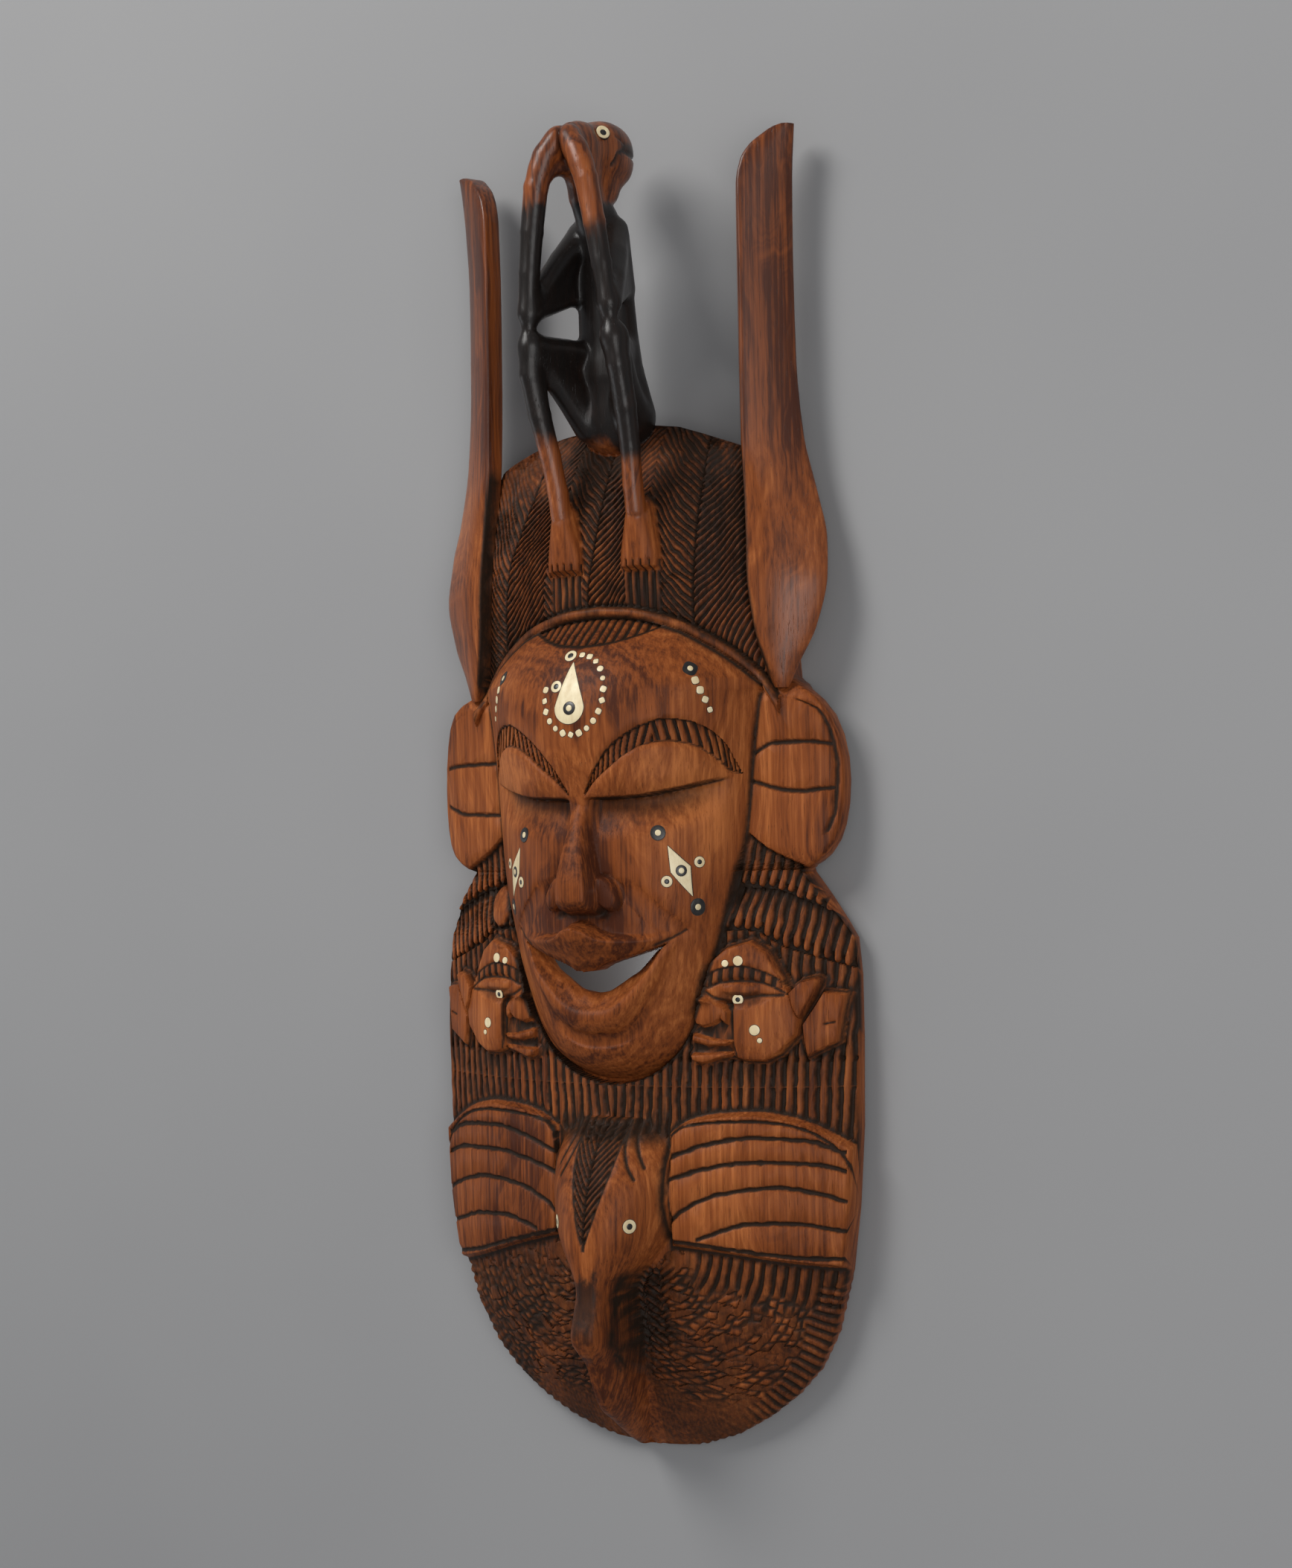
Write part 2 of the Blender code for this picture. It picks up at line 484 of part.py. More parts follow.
def material(name, colour, roughness):
    mat = bpy.data.materials.new(name)
    mat.use_nodes = True
    bsdf = mat.node_tree.nodes["Principled BSDF"]
    bsdf.inputs["Base Color"].default_value = (*colour, 1.0)
    bsdf.inputs["Roughness"].default_value = roughness
    bsdf.inputs["Metallic"].default_value = 0.0
    mat.diffuse_color = (*colour, 1.0)
    return mat


def place(x, y, z):
    """Carver's millimetres to metres in the part's frame."""
    return Vector((x * MM, (y - Y_MIDDLE) * MM, z * MM))


def half_width(y):
    """Half width of the board at y, read off the outline."""
    pts = [(b, a) for a, b in OUTLINE]
    ys = np.array([p[0] for p in pts])
    xs = np.array([p[1] for p in pts])
    order = np.argsort(ys)
    return np.interp(y, ys[order], xs[order])


def link(bm, name, col):
    me = bpy.data.meshes.new(name)
    bmesh.ops.recalc_face_normals(bm, faces=bm.faces[:])
    bm.to_mesh(me)
    bm.free()
    ob = bpy.data.objects.new(name, me)
    col.objects.link(ob)
    return ob


def make_board(col):
    """Board with relief in front and a hollow behind, on a grid that follows the outline."""
    columns, rows = 124, 250
    bpy.ops.mesh.primitive_grid_add(x_subdivisions=columns, y_subdivisions=rows, size=2.0)
    grid = bpy.context.object
    bm = bmesh.new()
    bm.from_mesh(grid.data)
    bpy.data.objects.remove(grid, do_unlink=True)
    front_faces = bm.faces[:]
    front_verts = bm.verts[:]
    made = bmesh.ops.extrude_face_region(bm, geom=front_faces, use_keep_orig=True)
    back_verts = [v for v in made["geom"] if isinstance(v, bmesh.types.BMVert)]
    low, high = OUTLINE[0][1] + 0.4, OUTLINE[-1][1] - 0.3
    contour = full_outline()

    def spread(verts):
        u = np.array([v.co.x for v in verts])
        v = np.array([v.co.y for v in verts])
        y = low + (high - low) * (0.5 + 0.5 * (0.72 * v + 0.28 * np.sin(v * np.pi / 2.0)))
        x = u * half_width(y)
        return x, y

    x, y = spread(front_verts)
    z = front(x, y)
    for i, v in enumerate(front_verts):
        v.co = (x[i], y[i], z[i])
    x, y = spread(back_verts)
    inner = np.maximum(polygon_distance(x, y, contour), 0.0)
    zb = back(x, y, inner)
    zb = zb - 4.0 * (1.0 - smooth(zb / 3.0))
    zf = front(x, y)
    zb = np.minimum(zb, zf - 5.0)
    for i, v in enumerate(back_verts):
        v.co = (x[i], y[i], zb[i])
    return link(bm, "board", col)


def make_horn(side, col):
    """Blade horn: rings of a rounded slab, lofted along its length."""
    ys = np.concatenate([np.linspace(56, 340, 44), np.linspace(343, 366.5, 11)])
    per_side = 4
    bm = bmesh.new()
    rings = []
    for y in ys:
        xi = along(y, [(s[0], s[1]) for s in HORN_IN])
        zi = along(y, [(s[0], s[2]) for s in HORN_IN])
        xo = along(y, [(s[0], s[1]) for s in HORN_OUT])
        zo = along(y, [(s[0], s[2]) for s in HORN_OUT])
        a = np.array([float(xi), float(zi)])
        b = np.array([float(xo), float(zo)])
        along_face = (b - a) / max(np.hypot(*(b - a)), 1e-6)
        outward = np.array([-along_face[1], along_face[0]])
        thick = min(HORN_THICK, 3.0 + 0.9 * np.hypot(*(b - a)))
        ring = []
        for k in range(per_side + 1):
            t = k / per_side
            p = a + (b - a) * t + outward * 1.4 * math.sin(math.pi * t)
            ring.append(p)
        for k in range(per_side + 1):
            t = 1.0 - k / per_side
            p = a + (b - a) * (0.06 + 0.88 * t) - outward * thick
            ring.append(p)
        rings.append([bm.verts.new((side * p[0], y, p[1])) for p in ring])
    count = len(rings[0])
    for r0, r1 in zip(rings[:-1], rings[1:]):
        for k in range(count):
            bm.faces.new((r0[k], r0[(k + 1) % count], r1[(k + 1) % count], r1[k]))
    bm.faces.new(rings[0])
    bm.faces.new(rings[-1])
    return link(bm, "horn_mass_%+d" % side, col)


def tapered_limb(bm, p, q, depth=1.0):
    """Round limb from (x, y, z, r) to (x, y, z, r) with ball ends."""
    a, b = Vector(p[:3]), Vector(q[:3])
    axis = b - a
    turn = Vector((0, 0, 1)).rotation_difference(axis.normalized()).to_matrix().to_4x4()
    made = bmesh.ops.create_cone(bm, cap_ends=True, segments=14, radius1=p[3], radius2=q[3], depth=axis.length)
    bmesh.ops.transform(bm, matrix=Matrix.Translation((a + b) / 2) @ turn, verts=made["verts"])
    mid = (a.z + b.z) / 2
    for v in made["verts"]:
        v.co.z = mid + (v.co.z - mid) * depth
    for c, r in ((a, p[3]), (b, q[3])):
        ball = bmesh.ops.create_uvsphere(bm, u_segments=14, v_segments=8, radius=r)
        bmesh.ops.scale(bm, vec=(1, 1, depth), verts=ball["verts"])
        bmesh.ops.translate(bm, vec=c, verts=ball["verts"])


def web(bm, corners, radius):
    """Rounded triangular web: the hull of a ball at each corner."""
    hull = bmesh.new()
    verts = []
    for cx, cy, cz in corners:
        for i in range(7):
            polar = math.pi * i / 6
            count = 1 if i in (0, 6) else 10
            for k in range(count):
                turn = 2 * math.pi * k / count
                verts.append(hull.verts.new((cx + radius * math.sin(polar) * math.cos(turn),
                                             cy + radius * math.sin(polar) * math.sin(turn), cz + radius * math.cos(polar))))
    made = bmesh.ops.convex_hull(hull, input=verts)
    spare = {g for g in made["geom_interior"] + made["geom_unused"] if isinstance(g, bmesh.types.BMVert)}
    bmesh.ops.delete(hull, geom=list(spare), context="VERTS")
    me = bpy.data.meshes.new("web")
    hull.to_mesh(me)
    hull.free()
    bm.from_mesh(me)
    bpy.data.meshes.remove(me)


def make_figure(col):
    bm = bmesh.new()
    chains = [TORSO, FACE]
    for side in (-1, 1):
        for chain in (ARM, UPPER_ARM, THIGH, THIGH_LOW, SHIN):
            chains.append([(side * x, y, z, r) for x, y, z, r in chain])
    for n, chain in enumerate(chains):
        moved = [(x + float(figure_shift(y)), y, z, r) for x, y, z, r in chain]
        for p, q in zip(moved[:-1], moved[1:]):
            tapered_limb(bm, p, q, TORSO_DEPTH if n == 0 else 1.0)
    for side in (-1, 1):
        for a, b, c, r in SHEETS:
            web(bm, [(side * x + float(figure_shift(y)), y, z) for x, y, z in (a, b, c)], r)
    for centre, radii, square in HEAD:
        ball = bmesh.ops.create_uvsphere(bm, u_segments=24, v_segments=14, radius=1.0)
        for v in ball["verts"]:
            size = (abs(v.co.x) ** square + abs(v.co.y) ** square + abs(v.co.z) ** square) ** (1.0 / square)
            v.co = v.co / size
        bmesh.ops.scale(bm, vec=radii, verts=ball["verts"])
        bmesh.ops.translate(bm, vec=centre, verts=ball["verts"])
    return link(bm, "figure_mass", col)


def outline_prism(name, points, low, high, col):
    """Flat 2D curve outline, filled and extruded, turned into a mesh."""
    curve = bpy.data.curves.new(name, "CURVE")
    curve.dimensions = "2D"
    curve.fill_mode = "BOTH"
    curve.extrude = (high - low) / 2
    spline = curve.splines.new("POLY")
    spline.points.add(len(points) - 1)
    for i, (x, y) in enumerate(points):
        spline.points[i].co = (x, y, 0, 1)
    spline.use_cyclic_u = True
    holder = bpy.data.objects.new(name + "_curve", curve)
    col.objects.link(holder)
    bpy.context.view_layer.update()
    me = bpy.data.meshes.new_from_object(holder.evaluated_get(bpy.context.evaluated_depsgraph_get()))
    bpy.data.objects.remove(holder, do_unlink=True)
    bm = bmesh.new()
    bm.from_mesh(me)
    bpy.data.meshes.remove(me)
    bmesh.ops.remove_doubles(bm, verts=bm.verts[:], dist=1e-4)
    bmesh.ops.translate(bm, vec=(0, 0, (low + high) / 2), verts=bm.verts[:])
    return link(bm, name, col)


def apply_modifiers(ob):
    me = bpy.data.meshes.new_from_object(ob.evaluated_get(bpy.context.evaluated_depsgraph_get()))
    ob.modifiers.clear()
    old = ob.data
    ob.data = me
    bpy.data.meshes.remove(old)


def cut(ob, cutter):
    mod = ob.modifiers.new("cut", "BOOLEAN")
    mod.operation = "DIFFERENCE"
    mod.solver = "EXACT"
    mod.object = cutter
    cutter.hide_render = True
    cutter.display_type = "WIRE"
    bpy.context.view_layer.update()
    apply_modifiers(ob)


def join(objects, name, col):
    bm = bmesh.new()
    for ob in objects:
        bm.from_mesh(ob.data)
        bpy.data.objects.remove(ob, do_unlink=True)
    me = bpy.data.meshes.new(name)
    bm.to_mesh(me)
    bm.free()
    ob = bpy.data.objects.new(name, me)
    col.objects.link(ob)
    return ob


# ---- inlays -------------------------------------------------------------------------
def surface(x, y):
    return float(front(np.array([x]), np.array([y]))[0])


def seat(x, y, reach=2.5):
    """Point on the relief and its normal, read over a small reach."""
    gx = (surface(x + reach, y) - surface(x - reach, y)) / (2 * reach)
    gy = (surface(x, y + reach) - surface(x, y - reach)) / (2 * reach)
    z = (surface(x + reach, y) + surface(x - reach, y) + surface(x, y + reach) + surface(x, y - reach)) / 4
    return Vector((x, y, z)), Vector((-gx, -gy, 1.0)).normalized()


def peg(bm, point, normal, radius, low, high, sides):
    turn = Vector((0, 0, 1)).rotation_difference(normal).to_matrix().to_4x4()
    made = bmesh.ops.create_cone(bm, cap_ends=True, segments=sides, radius1=radius, radius2=radius, depth=high - low)
    move = Matrix.Translation(point) @ turn @ Matrix.Translation((0, 0, (low + high) / 2))
    bmesh.ops.transform(bm, matrix=move, verts=made["verts"])


def slab(bm, points, low, high, lift):
    """Closed slab over an outline; lift gives the height of each corner."""
    bottom = [bm.verts.new((x, y, lift(x, y) + low)) for x, y in points]
    top = [bm.verts.new((x, y, lift(x, y) + high)) for x, y in points]
    n = len(points)
    for i in range(n):
        bm.faces.new((bottom[i], bottom[(i + 1) % n], top[(i + 1) % n], top[i]))
    for ring in (bottom, top):
        x = sum(v.co.x for v in ring) / n
        y = sum(v.co.y for v in ring) / n
        z = sum(v.co.z for v in ring) / n
        hub = bm.verts.new((x, y, z))
        for i in range(n):
            bm.faces.new((ring[i], ring[(i + 1) % n], hub))


def tangent_plane(points):
    cx = sum(p[0] for p in points) / len(points)
    cy = sum(p[1] for p in points) / len(points)
    gx = (surface(cx + 5, cy) - surface(cx - 5, cy)) / 10
    gy = (surface(cx, cy + 8) - surface(cx, cy - 8)) / 16
    z = sum(surface(px, py) for px, py in points) / len(points) - 0.15
    return lambda x, y: z + gx * (x - cx) + gy * (y - cy)


def circle(x, y, radius, sides=12):
    return [(x + radius * math.cos(2 * math.pi * k / sides), y + radius * math.sin(2 * math.pi * k / sides))
            for k in range(sides)]


def grow_outline(points, amount):
    cx = sum(p[0] for p in points) / len(points)
    cy = sum(p[1] for p in points) / len(points)
    out = []
    n = len(points)
    for i in range(n):
        x0, y0 = points[i - 1]
        x1, y1 = points[(i + 1) % n]
        tx, ty = x1 - x0, y1 - y0
        length = math.hypot(tx, ty)
        nx, ny = ty / length, -tx / length
        px, py = points[i]
        if (px - cx) * nx + (py - cy) * ny < 0:
            nx, ny = -nx, -ny
        out.append((px + nx * amount, py + ny * amount))
    return out


def make_inlays(col, cutters, bone, black):
    """Every inlay as its own peg; returns the cutters of their pockets."""
    pockets = []
    pegs = []

    def pocket(shape, *how):
        bm = bmesh.new()
        shape(bm, *how)
        pockets.append(link(bm, "pocket", cutters))

    def round_inlay(name, x, y, radius, tone, hole=None):
        point, normal = seat(x, y)
        sides = 12 if radius > 2.5 else 8
        bm = bmesh.new()
        peg(bm, point, normal, radius, -INLAY_DEPTH, INLAY_PROUD, sides)
        pegs.append((name, bm, black if tone == "black" else bone))
        if hole is None:
            pocket(peg, point, normal, radius + GAP, -INLAY_DEPTH - GAP, 6.0, sides)
        return point, normal

    for name, x, y, radius, tone in MIRRORED_INLAYS:
        for side, word in ((-1, "left"), (1, "right")):
            round_inlay("%s_%s" % (name, word), side * x, y, radius, tone)
    for name, x, y, radius in FOREHEAD_RINGS:
        round_inlay(name, x, y, radius, "bone")
    for i, (x, y) in enumerate(dot_places()):
        round_inlay("forehead_dot_%02d" % (i + 1), x, y, DOT_RADIUS, "bone")
    # the figure's eyes sit on the sides of its head
    for side, word in ((-1, "left"), (1, "right")):
        (ex, ey, ez), (nx, ny, nz), eye_radius = FIGURE_EYE
        point = Vector((side * ex, ey, ez))
        normal = Vector((side * nx, ny, nz)).normalized()
        bm = bmesh.new()
        peg(bm, point, normal, eye_radius, -INLAY_DEPTH - 0.4, 0.9, 12)
        pegs.append(("figure_eye_" + word, bm, bone))
        pocket(peg, point, normal, eye_radius + GAP, -INLAY_DEPTH - 0.4 - GAP, 8.0, 12)

    # teardrop and lozenges are shaped slabs, each with a ring let into it
    shapes = [("teardrop", tear_outline(), TEAR_RING, 1)]
    for side, word in ((-1, "left"), (1, "right")):
        pts = [(side * x, y) for x, y in LOZENGE]
        ring = (side * LOZENGE_RING[0], LOZENGE_RING[1], LOZENGE_RING[2])
        shapes.append(("lozenge_" + word, pts, ring, side))
    for name, pts, ring, side in shapes:
        lift = tangent_plane(pts)
        bm = bmesh.new()
        slab(bm, pts, -INLAY_DEPTH - 0.4, INLAY_PROUD, lift)
        body = link(bm, name + "_blank", cutters)
        pocket(slab, grow_outline(pts, GAP), -INLAY_DEPTH - 0.4 - GAP, 7.0, lift)
        x, y, radius = ring
        hole = bmesh.new()
        slab(hole, circle(x, y, radius + GAP), -8.0, 9.0, lift)
        hole = link(hole, name + "_hole", cutters)
        cut(body, hole)
        bm = bmesh.new()
        bm.from_mesh(body.data)
        bpy.data.objects.remove(body, do_unlink=True)
        bpy.data.objects.remove(hole, do_unlink=True)
        pegs.append((name, bm, bone))
        bm = bmesh.new()
        slab(bm, circle(x, y, radius), -INLAY_DEPTH - 0.4, INLAY_PROUD, lift)
        pegs.append((name + "_ring", bm, black))

    for name, bm, mat in pegs:
        for v in bm.verts:
            v.co = place(*v.co)
        ob = link(bm, name, col)
        ob.data.materials.append(mat)
    return pockets


# ---- the mask ------------------------------------------------------------------------
def main():
    clear_scene()
    parts = collection("wall_mask")
    cutters = collection("cutters")
    wood_mat = material("oiled_hardwood", (0.135, 0.045, 0.018), 0.42)
    bone = material("bone_inlay", (0.74, 0.66, 0.48), 0.4)
    black = material("black_inlay", (0.02, 0.018, 0.016), 0.4)

    masses = [make_board(cutters), make_horn(-1, cutters), make_horn(1, cutters), make_figure(cutters)]
    wood = join(masses, "mask", parts)

    remesh = wood.modifiers.new("union", "REMESH")
    remesh.mode = "VOXEL"
    remesh.voxel_size = VOXEL
    bpy.context.view_layer.update()
    apply_modifiers(wood)
    thin = wood.modifiers.new("thin", "DECIMATE")
    thin.ratio = WOOD_TRIANGLES / (2.0 * len(wood.data.polygons))
    thin.use_collapse_triangulate = True
    bpy.context.view_layer.update()
    apply_modifiers(wood)

    # open mouth, right through
    xs = [-42.5 + 85.0 * i / 24 for i in range(25)]
    upper = [(x, float(along(abs(x), HOLE_UP))) for x in xs]
    lower = [(x, min(float(along(abs(x), HOLE_LOW)), float(along(abs(x), HOLE_UP)) - 1.2)) for x in xs[::-1]]
    mouth = outline_prism("mouth", upper + lower, -30.0, 140.0, cutters)
    cut(wood, mouth)
    # flat back rim
    bm = bmesh.new()
    made = bmesh.ops.create_cube(bm, size=1.0)
    bmesh.ops.scale(bm, vec=(400, 1000, 40), verts=made["verts"])
    bmesh.ops.translate(bm, vec=(0, 0, -20), verts=made["verts"])
    floor = link(bm, "floor", cutters)
    cut(wood, floor)

    for cutter in [floor, mouth] + make_inlays(parts, cutters, bone, black):
        if cutter not in (floor, mouth):
            cut(wood, cutter)
        bpy.data.objects.remove(cutter, do_unlink=True)

    for v in wood.data.vertices:
        v.co = place(*v.co)
    wood.data.materials.clear()
    wood.data.materials.append(wood_mat)
    for ob in parts.objects:
        ob.data.shade_smooth()
        ob.data.set_sharp_from_angle(angle=math.radians(35))


main()
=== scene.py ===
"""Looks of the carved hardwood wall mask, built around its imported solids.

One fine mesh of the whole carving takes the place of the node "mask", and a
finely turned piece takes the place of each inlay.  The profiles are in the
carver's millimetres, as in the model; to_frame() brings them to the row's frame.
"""

import math

import bmesh
import bpy
import numpy as np
import openvdb
from mathutils import Matrix, Vector


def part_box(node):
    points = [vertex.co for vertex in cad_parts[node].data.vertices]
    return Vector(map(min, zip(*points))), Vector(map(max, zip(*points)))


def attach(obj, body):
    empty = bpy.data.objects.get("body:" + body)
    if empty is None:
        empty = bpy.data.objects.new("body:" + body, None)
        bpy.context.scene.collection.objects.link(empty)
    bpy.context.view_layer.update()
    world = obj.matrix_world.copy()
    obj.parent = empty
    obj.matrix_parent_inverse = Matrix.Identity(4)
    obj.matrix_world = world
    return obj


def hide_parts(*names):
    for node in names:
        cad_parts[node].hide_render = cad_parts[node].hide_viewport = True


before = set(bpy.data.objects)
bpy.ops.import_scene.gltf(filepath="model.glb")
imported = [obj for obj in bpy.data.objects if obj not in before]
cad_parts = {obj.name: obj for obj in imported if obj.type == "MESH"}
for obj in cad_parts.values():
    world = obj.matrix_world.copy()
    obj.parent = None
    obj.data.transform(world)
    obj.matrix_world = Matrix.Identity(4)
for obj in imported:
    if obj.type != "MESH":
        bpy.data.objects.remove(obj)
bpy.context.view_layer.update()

MM = 0.001
Y_MIDDLE = -3.85
WOOD_TRIANGLES = 197000
GRID = (450, 960)


# ---- helpers -------------------------------------------------------------
def smooth(t):
    t = np.clip(t, 0.0, 1.0)
    return t * t * (3.0 - 2.0 * t)


def along(x, stations):
    """Smooth monotone curve through a few named stations (position, value)."""
    xs = np.array([s[0] for s in stations], float)
    ys = np.array([s[1] for s in stations], float)
    h = np.diff(xs)
    d = np.diff(ys) / h
    m = np.zeros_like(ys)
    keep = d[:-1] * d[1:] > 0
    m[1:-1] = np.where(keep, 2 * d[:-1] * d[1:] / np.where(keep, d[:-1] + d[1:], 1.0), 0.0)
    m[0], m[-1] = d[0], d[-1]
    x = np.clip(np.asarray(x, float), xs[0], xs[-1])
    i = np.clip(np.searchsorted(xs, x) - 1, 0, len(xs) - 2)
    t = (x - xs[i]) / h[i]
    t2, t3 = t * t, t * t * t
    return ((2 * t3 - 3 * t2 + 1) * ys[i] + (t3 - 2 * t2 + t) * h[i] * m[i]
            + (-2 * t3 + 3 * t2) * ys[i + 1] + (t3 - t2) * h[i] * m[i + 1])


def smax(a, b, k):
    h = np.clip(0.5 + 0.5 * (a - b) / k, 0.0, 1.0)
    return b + (a - b) * h + k * h * (1.0 - h)


def smin(a, b, k):
    return -smax(-a, -b, k)


# ---- the carving's profiles, in millimetres --------------------------------
# half outline of plate, ears and headdress, from the bottom up: (x, y)
OUTLINE = [(0, -385.5), (30, -382.5), (55, -373), (76, -360), (93, -346), (107, -330), (118, -308),
           (126.5, -275), (131.5, -235), (134.5, -190), (135.5, -140), (135, -105), (133, -84), (127, -74),
           (117.5, -60), (106.5, -45.5), (110.5, -44.2), (116.5, -41), (122, -36), (126, -29), (128.6, -20),
           (130.2, -9), (130.8, 4), (130.2, 17), (128, 30), (124.3, 41), (118.8, 49.5), (112.5, 54.8), (106, 58.4),
           (101, 62), (98, 100), (94, 150), (89, 175), (81, 190), (72, 194),
           (56, 200), (39, 206), (20, 209), (0, 210)]

LOG_EDGE = [(-386, 8), (-335, 9), (-300, 11), (-270, 14), (-230, 16.5), (-140, 16), (-84, 13), (-60, 14),
            (-30, 21), (10, 20), (50, 21), (65, 24)]
HEAD_EDGE = [(55, 29), (104, 32), (150, 28), (187, 22), (210, 18)]
HEAD_CROWN = [(55, 50), (99, 60), (125, 62), (150, 60), (178, 51), (198, 40), (210, 30)]

FACE_HALF = [(-166, 0), (-165, 9), (-162, 20), (-156, 31), (-144, 43.5), (-127, 52.5), (-102, 60.5), (-80, 66.8),
             (-53, 73.6), (-18, 80.1), (14, 82.8), (40, 86), (55, 88.5)]
FACE_EDGE = [(-166, 41), (-144, 49), (-102, 50), (-80, 47.6), (-53, 45), (-18, 39.2), (14, 38), (58, 37),
             (76, 46), (91, 55), (101, 59)]
FACE_CROWN = [(-166, 42), (-161, 54), (-153, 66.5), (-142, 73), (-128, 77), (-115, 80.5), (-100, 83.5), (-75, 85.5),
              (-60, 85), (-30, 85), (-12, 87), (0, 90), (12, 93), (26, 95.8), (40, 96.4), (54, 94.3), (66, 90),
              (76, 84), (84, 77.5), (92, 69), (101, 60)]
FACE_POWER = [(-166, 2.2), (-120, 2.3), (-85, 2.5), (-61, 2.7), (-27, 2.5), (15, 2.35), (60, 2.2), (101, 2.0)]

BAND = [(0, 101.5), (20, 100), (35, 96.5), (48, 92), (60, 85.5), (74, 76), (86, 65), (94, 55), (99, 47)]


def band_y(x):
    return along(np.abs(x), BAND)


def log_level(x, y):
    """Hair, ear and plate level of the half log."""
    ax = np.abs(x)
    edge = along(y, LOG_EDGE)
    t = (ax / 136.0) ** 2.2 + (np.maximum(0.0, -240.0 - y) / 146.0) ** 2.6
    low = edge + (56.0 - edge) * np.clip(1.0 - t, -0.1, 1.0)
    ear = edge + 23.0 * (1.0 - (ax / 132.0) ** 2) + 3.0 * smooth((132.0 - ax) / 14.0)
    w = smooth((y + 72.0) / 36.0)
    body = low * (1 - w) + ear * w
    he = along(y, HEAD_EDGE)
    hc = along(y, HEAD_CROWN)
    head = he + (hc - he) * np.clip(1.0 - (ax / 95.0) ** 2.3, -0.15, 1.0)
    w2 = smooth((y - 48.0) / 14.0)
    return body * (1 - w2) + head * w2


def face_half(y):
    """Half width of the face at y; above the temples the headband closes it."""
    yy = np.asarray(y, float)
    low = along(yy, FACE_HALF)
    bx = np.array([b[0] for b in BAND], float)[::-1]
    by = np.array([b[1] for b in BAND], float)[::-1]
    top = along(yy, [(by[i], bx[i]) for i in range(len(by))])
    return np.where(yy > 55, np.minimum(top, 89.0), low)


def face_skin(x, y):
    w = np.maximum(face_half(y), 0.5)
    e = along(y, FACE_EDGE)
    c = along(y, FACE_CROWN)
    p = along(y, FACE_POWER)
    t = np.clip(np.abs(x) / w, 0, 1.3)
    return e + (c - e) * (1.0 - t ** p)


def in_face(x, y):
    """Signed: positive inside the face outline (about millimetres)."""
    w = face_half(y)
    return np.where(y > -166, w - np.abs(x), -1.0 - (-166 - y))


# ---- larger relief -----------------------------------------------------------
BROW_ARC = [(4, -2), (8, 5.5), (12, 12.5), (17, 19), (24, 26.5), (31, 31.8), (40, 37), (50, 40), (60, 38.6), (68, 34),
            (74, 26), (78, 14), (80, 8)]
LID_TOP = [(4, -3), (13, 6.5), (22, 13.5), (30, 19.5), (40, 24.8), (50, 26.6), (60, 24.5), (68, 18.5), (75, 9)]
LID_LOW = [(4, -3), (31, -2), (53, 2), (66, 5.5), (76, 8)]
NOSE_HALF = [(-68, 14), (-60, 15), (-52, 13.6), (-42, 12), (-25, 8.6), (-8, 6.4), (4, 5.4)]
NOSE_TOP = [(-68, 8.6), (-57, 9.0), (-46, 8.2), (-38, 7.0), (-25, 5.0), (-8, 3.6), (4, 3.0)]
NOSE_CREST = [(-68, 93), (-64, 98), (-59, 101.5), (-52, 101.5), (-38, 99.2), (-25, 95.2), (-8, 89), (4, 84)]
LIP_CREST = [(0, -75.5), (6, -77), (13, -81), (20, -82.7), (35, -83), (43, -82), (50, -79)]
HOLE_UP = [(0, -100), (4, -99.6), (9, -97), (14, -95), (25, -91.5), (38, -87), (43, -85), (50, -81)]
HOLE_LOW = [(0, -112.8), (8.5, -111.4), (15, -108), (21, -104), (27, -100), (33, -93.5), (39, -86.5), (43, -84)]
LIP_RIM = [(0, -121), (8, -120.4), (15, -117.6), (22, -112.5), (29, -105.2), (35, -98.5), (43, -86.5), (50, -80)]
LIP_BASE = [(0, -137), (12, -135.5), (20, -132), (30, -122), (40, -106), (47, -91), (53, -80)]

WING_TOP = [(32, -199), (38, -191), (50, -184), (66, -180.8), (84, -180), (100, -182.5), (112, -186.5), (124, -193),
            (136, -201)]
WING_LOW = [(30, -256), (45, -257.5), (70, -260.5), (104, -266), (136, -270)]
WING_SAG = [(30, 3), (50, 0), (90, -7), (136, -15)]      # the left wing hangs lower at its outer end
WING_IN = 36.0

BIRD_HALF = [(-386, 4), (-378, 6), (-365, 8.5), (-351, 10), (-335, 11), (-318, 12.5), (-308, 14), (-285, 13.4), (-276, 16.5),
             (-269, 22.5), (-262, 28.5), (-255, 33.3), (-247, 36.5), (-238, 38.2), (-226, 39), (-212, 38), (-198, 33), (-186, 25)]
BIRD_CROWN = [(-386, 12), (-378, 26), (-370, 38), (-360, 54), (-351, 68), (-335, 80), (-322, 86), (-313, 94), (-303, 98.5),
              (-292, 95), (-280, 92.5), (-250, 94), (-228, 90), (-210, 82), (-196, 72), (-184, 60)]
BIRD_FOOT = [(-386, 6), (-370, 14), (-340, 34), (-310, 44), (-280, 47), (-250, 54), (-220, 57), (-184, 52)]
BIRD_POWER = [(-386, 2.4), (-345, 3.4), (-318, 5.0), (-290, 5.0), (-276, 3.4), (-262, 2.6), (-245, 2.4), (-212, 2.3), (-184, 2.0)]
BIRD_BEND = [(-386, -8), (-370, -6), (-350, -2.5), (-330, -0.5), (-310, 0), (-184, 0)]

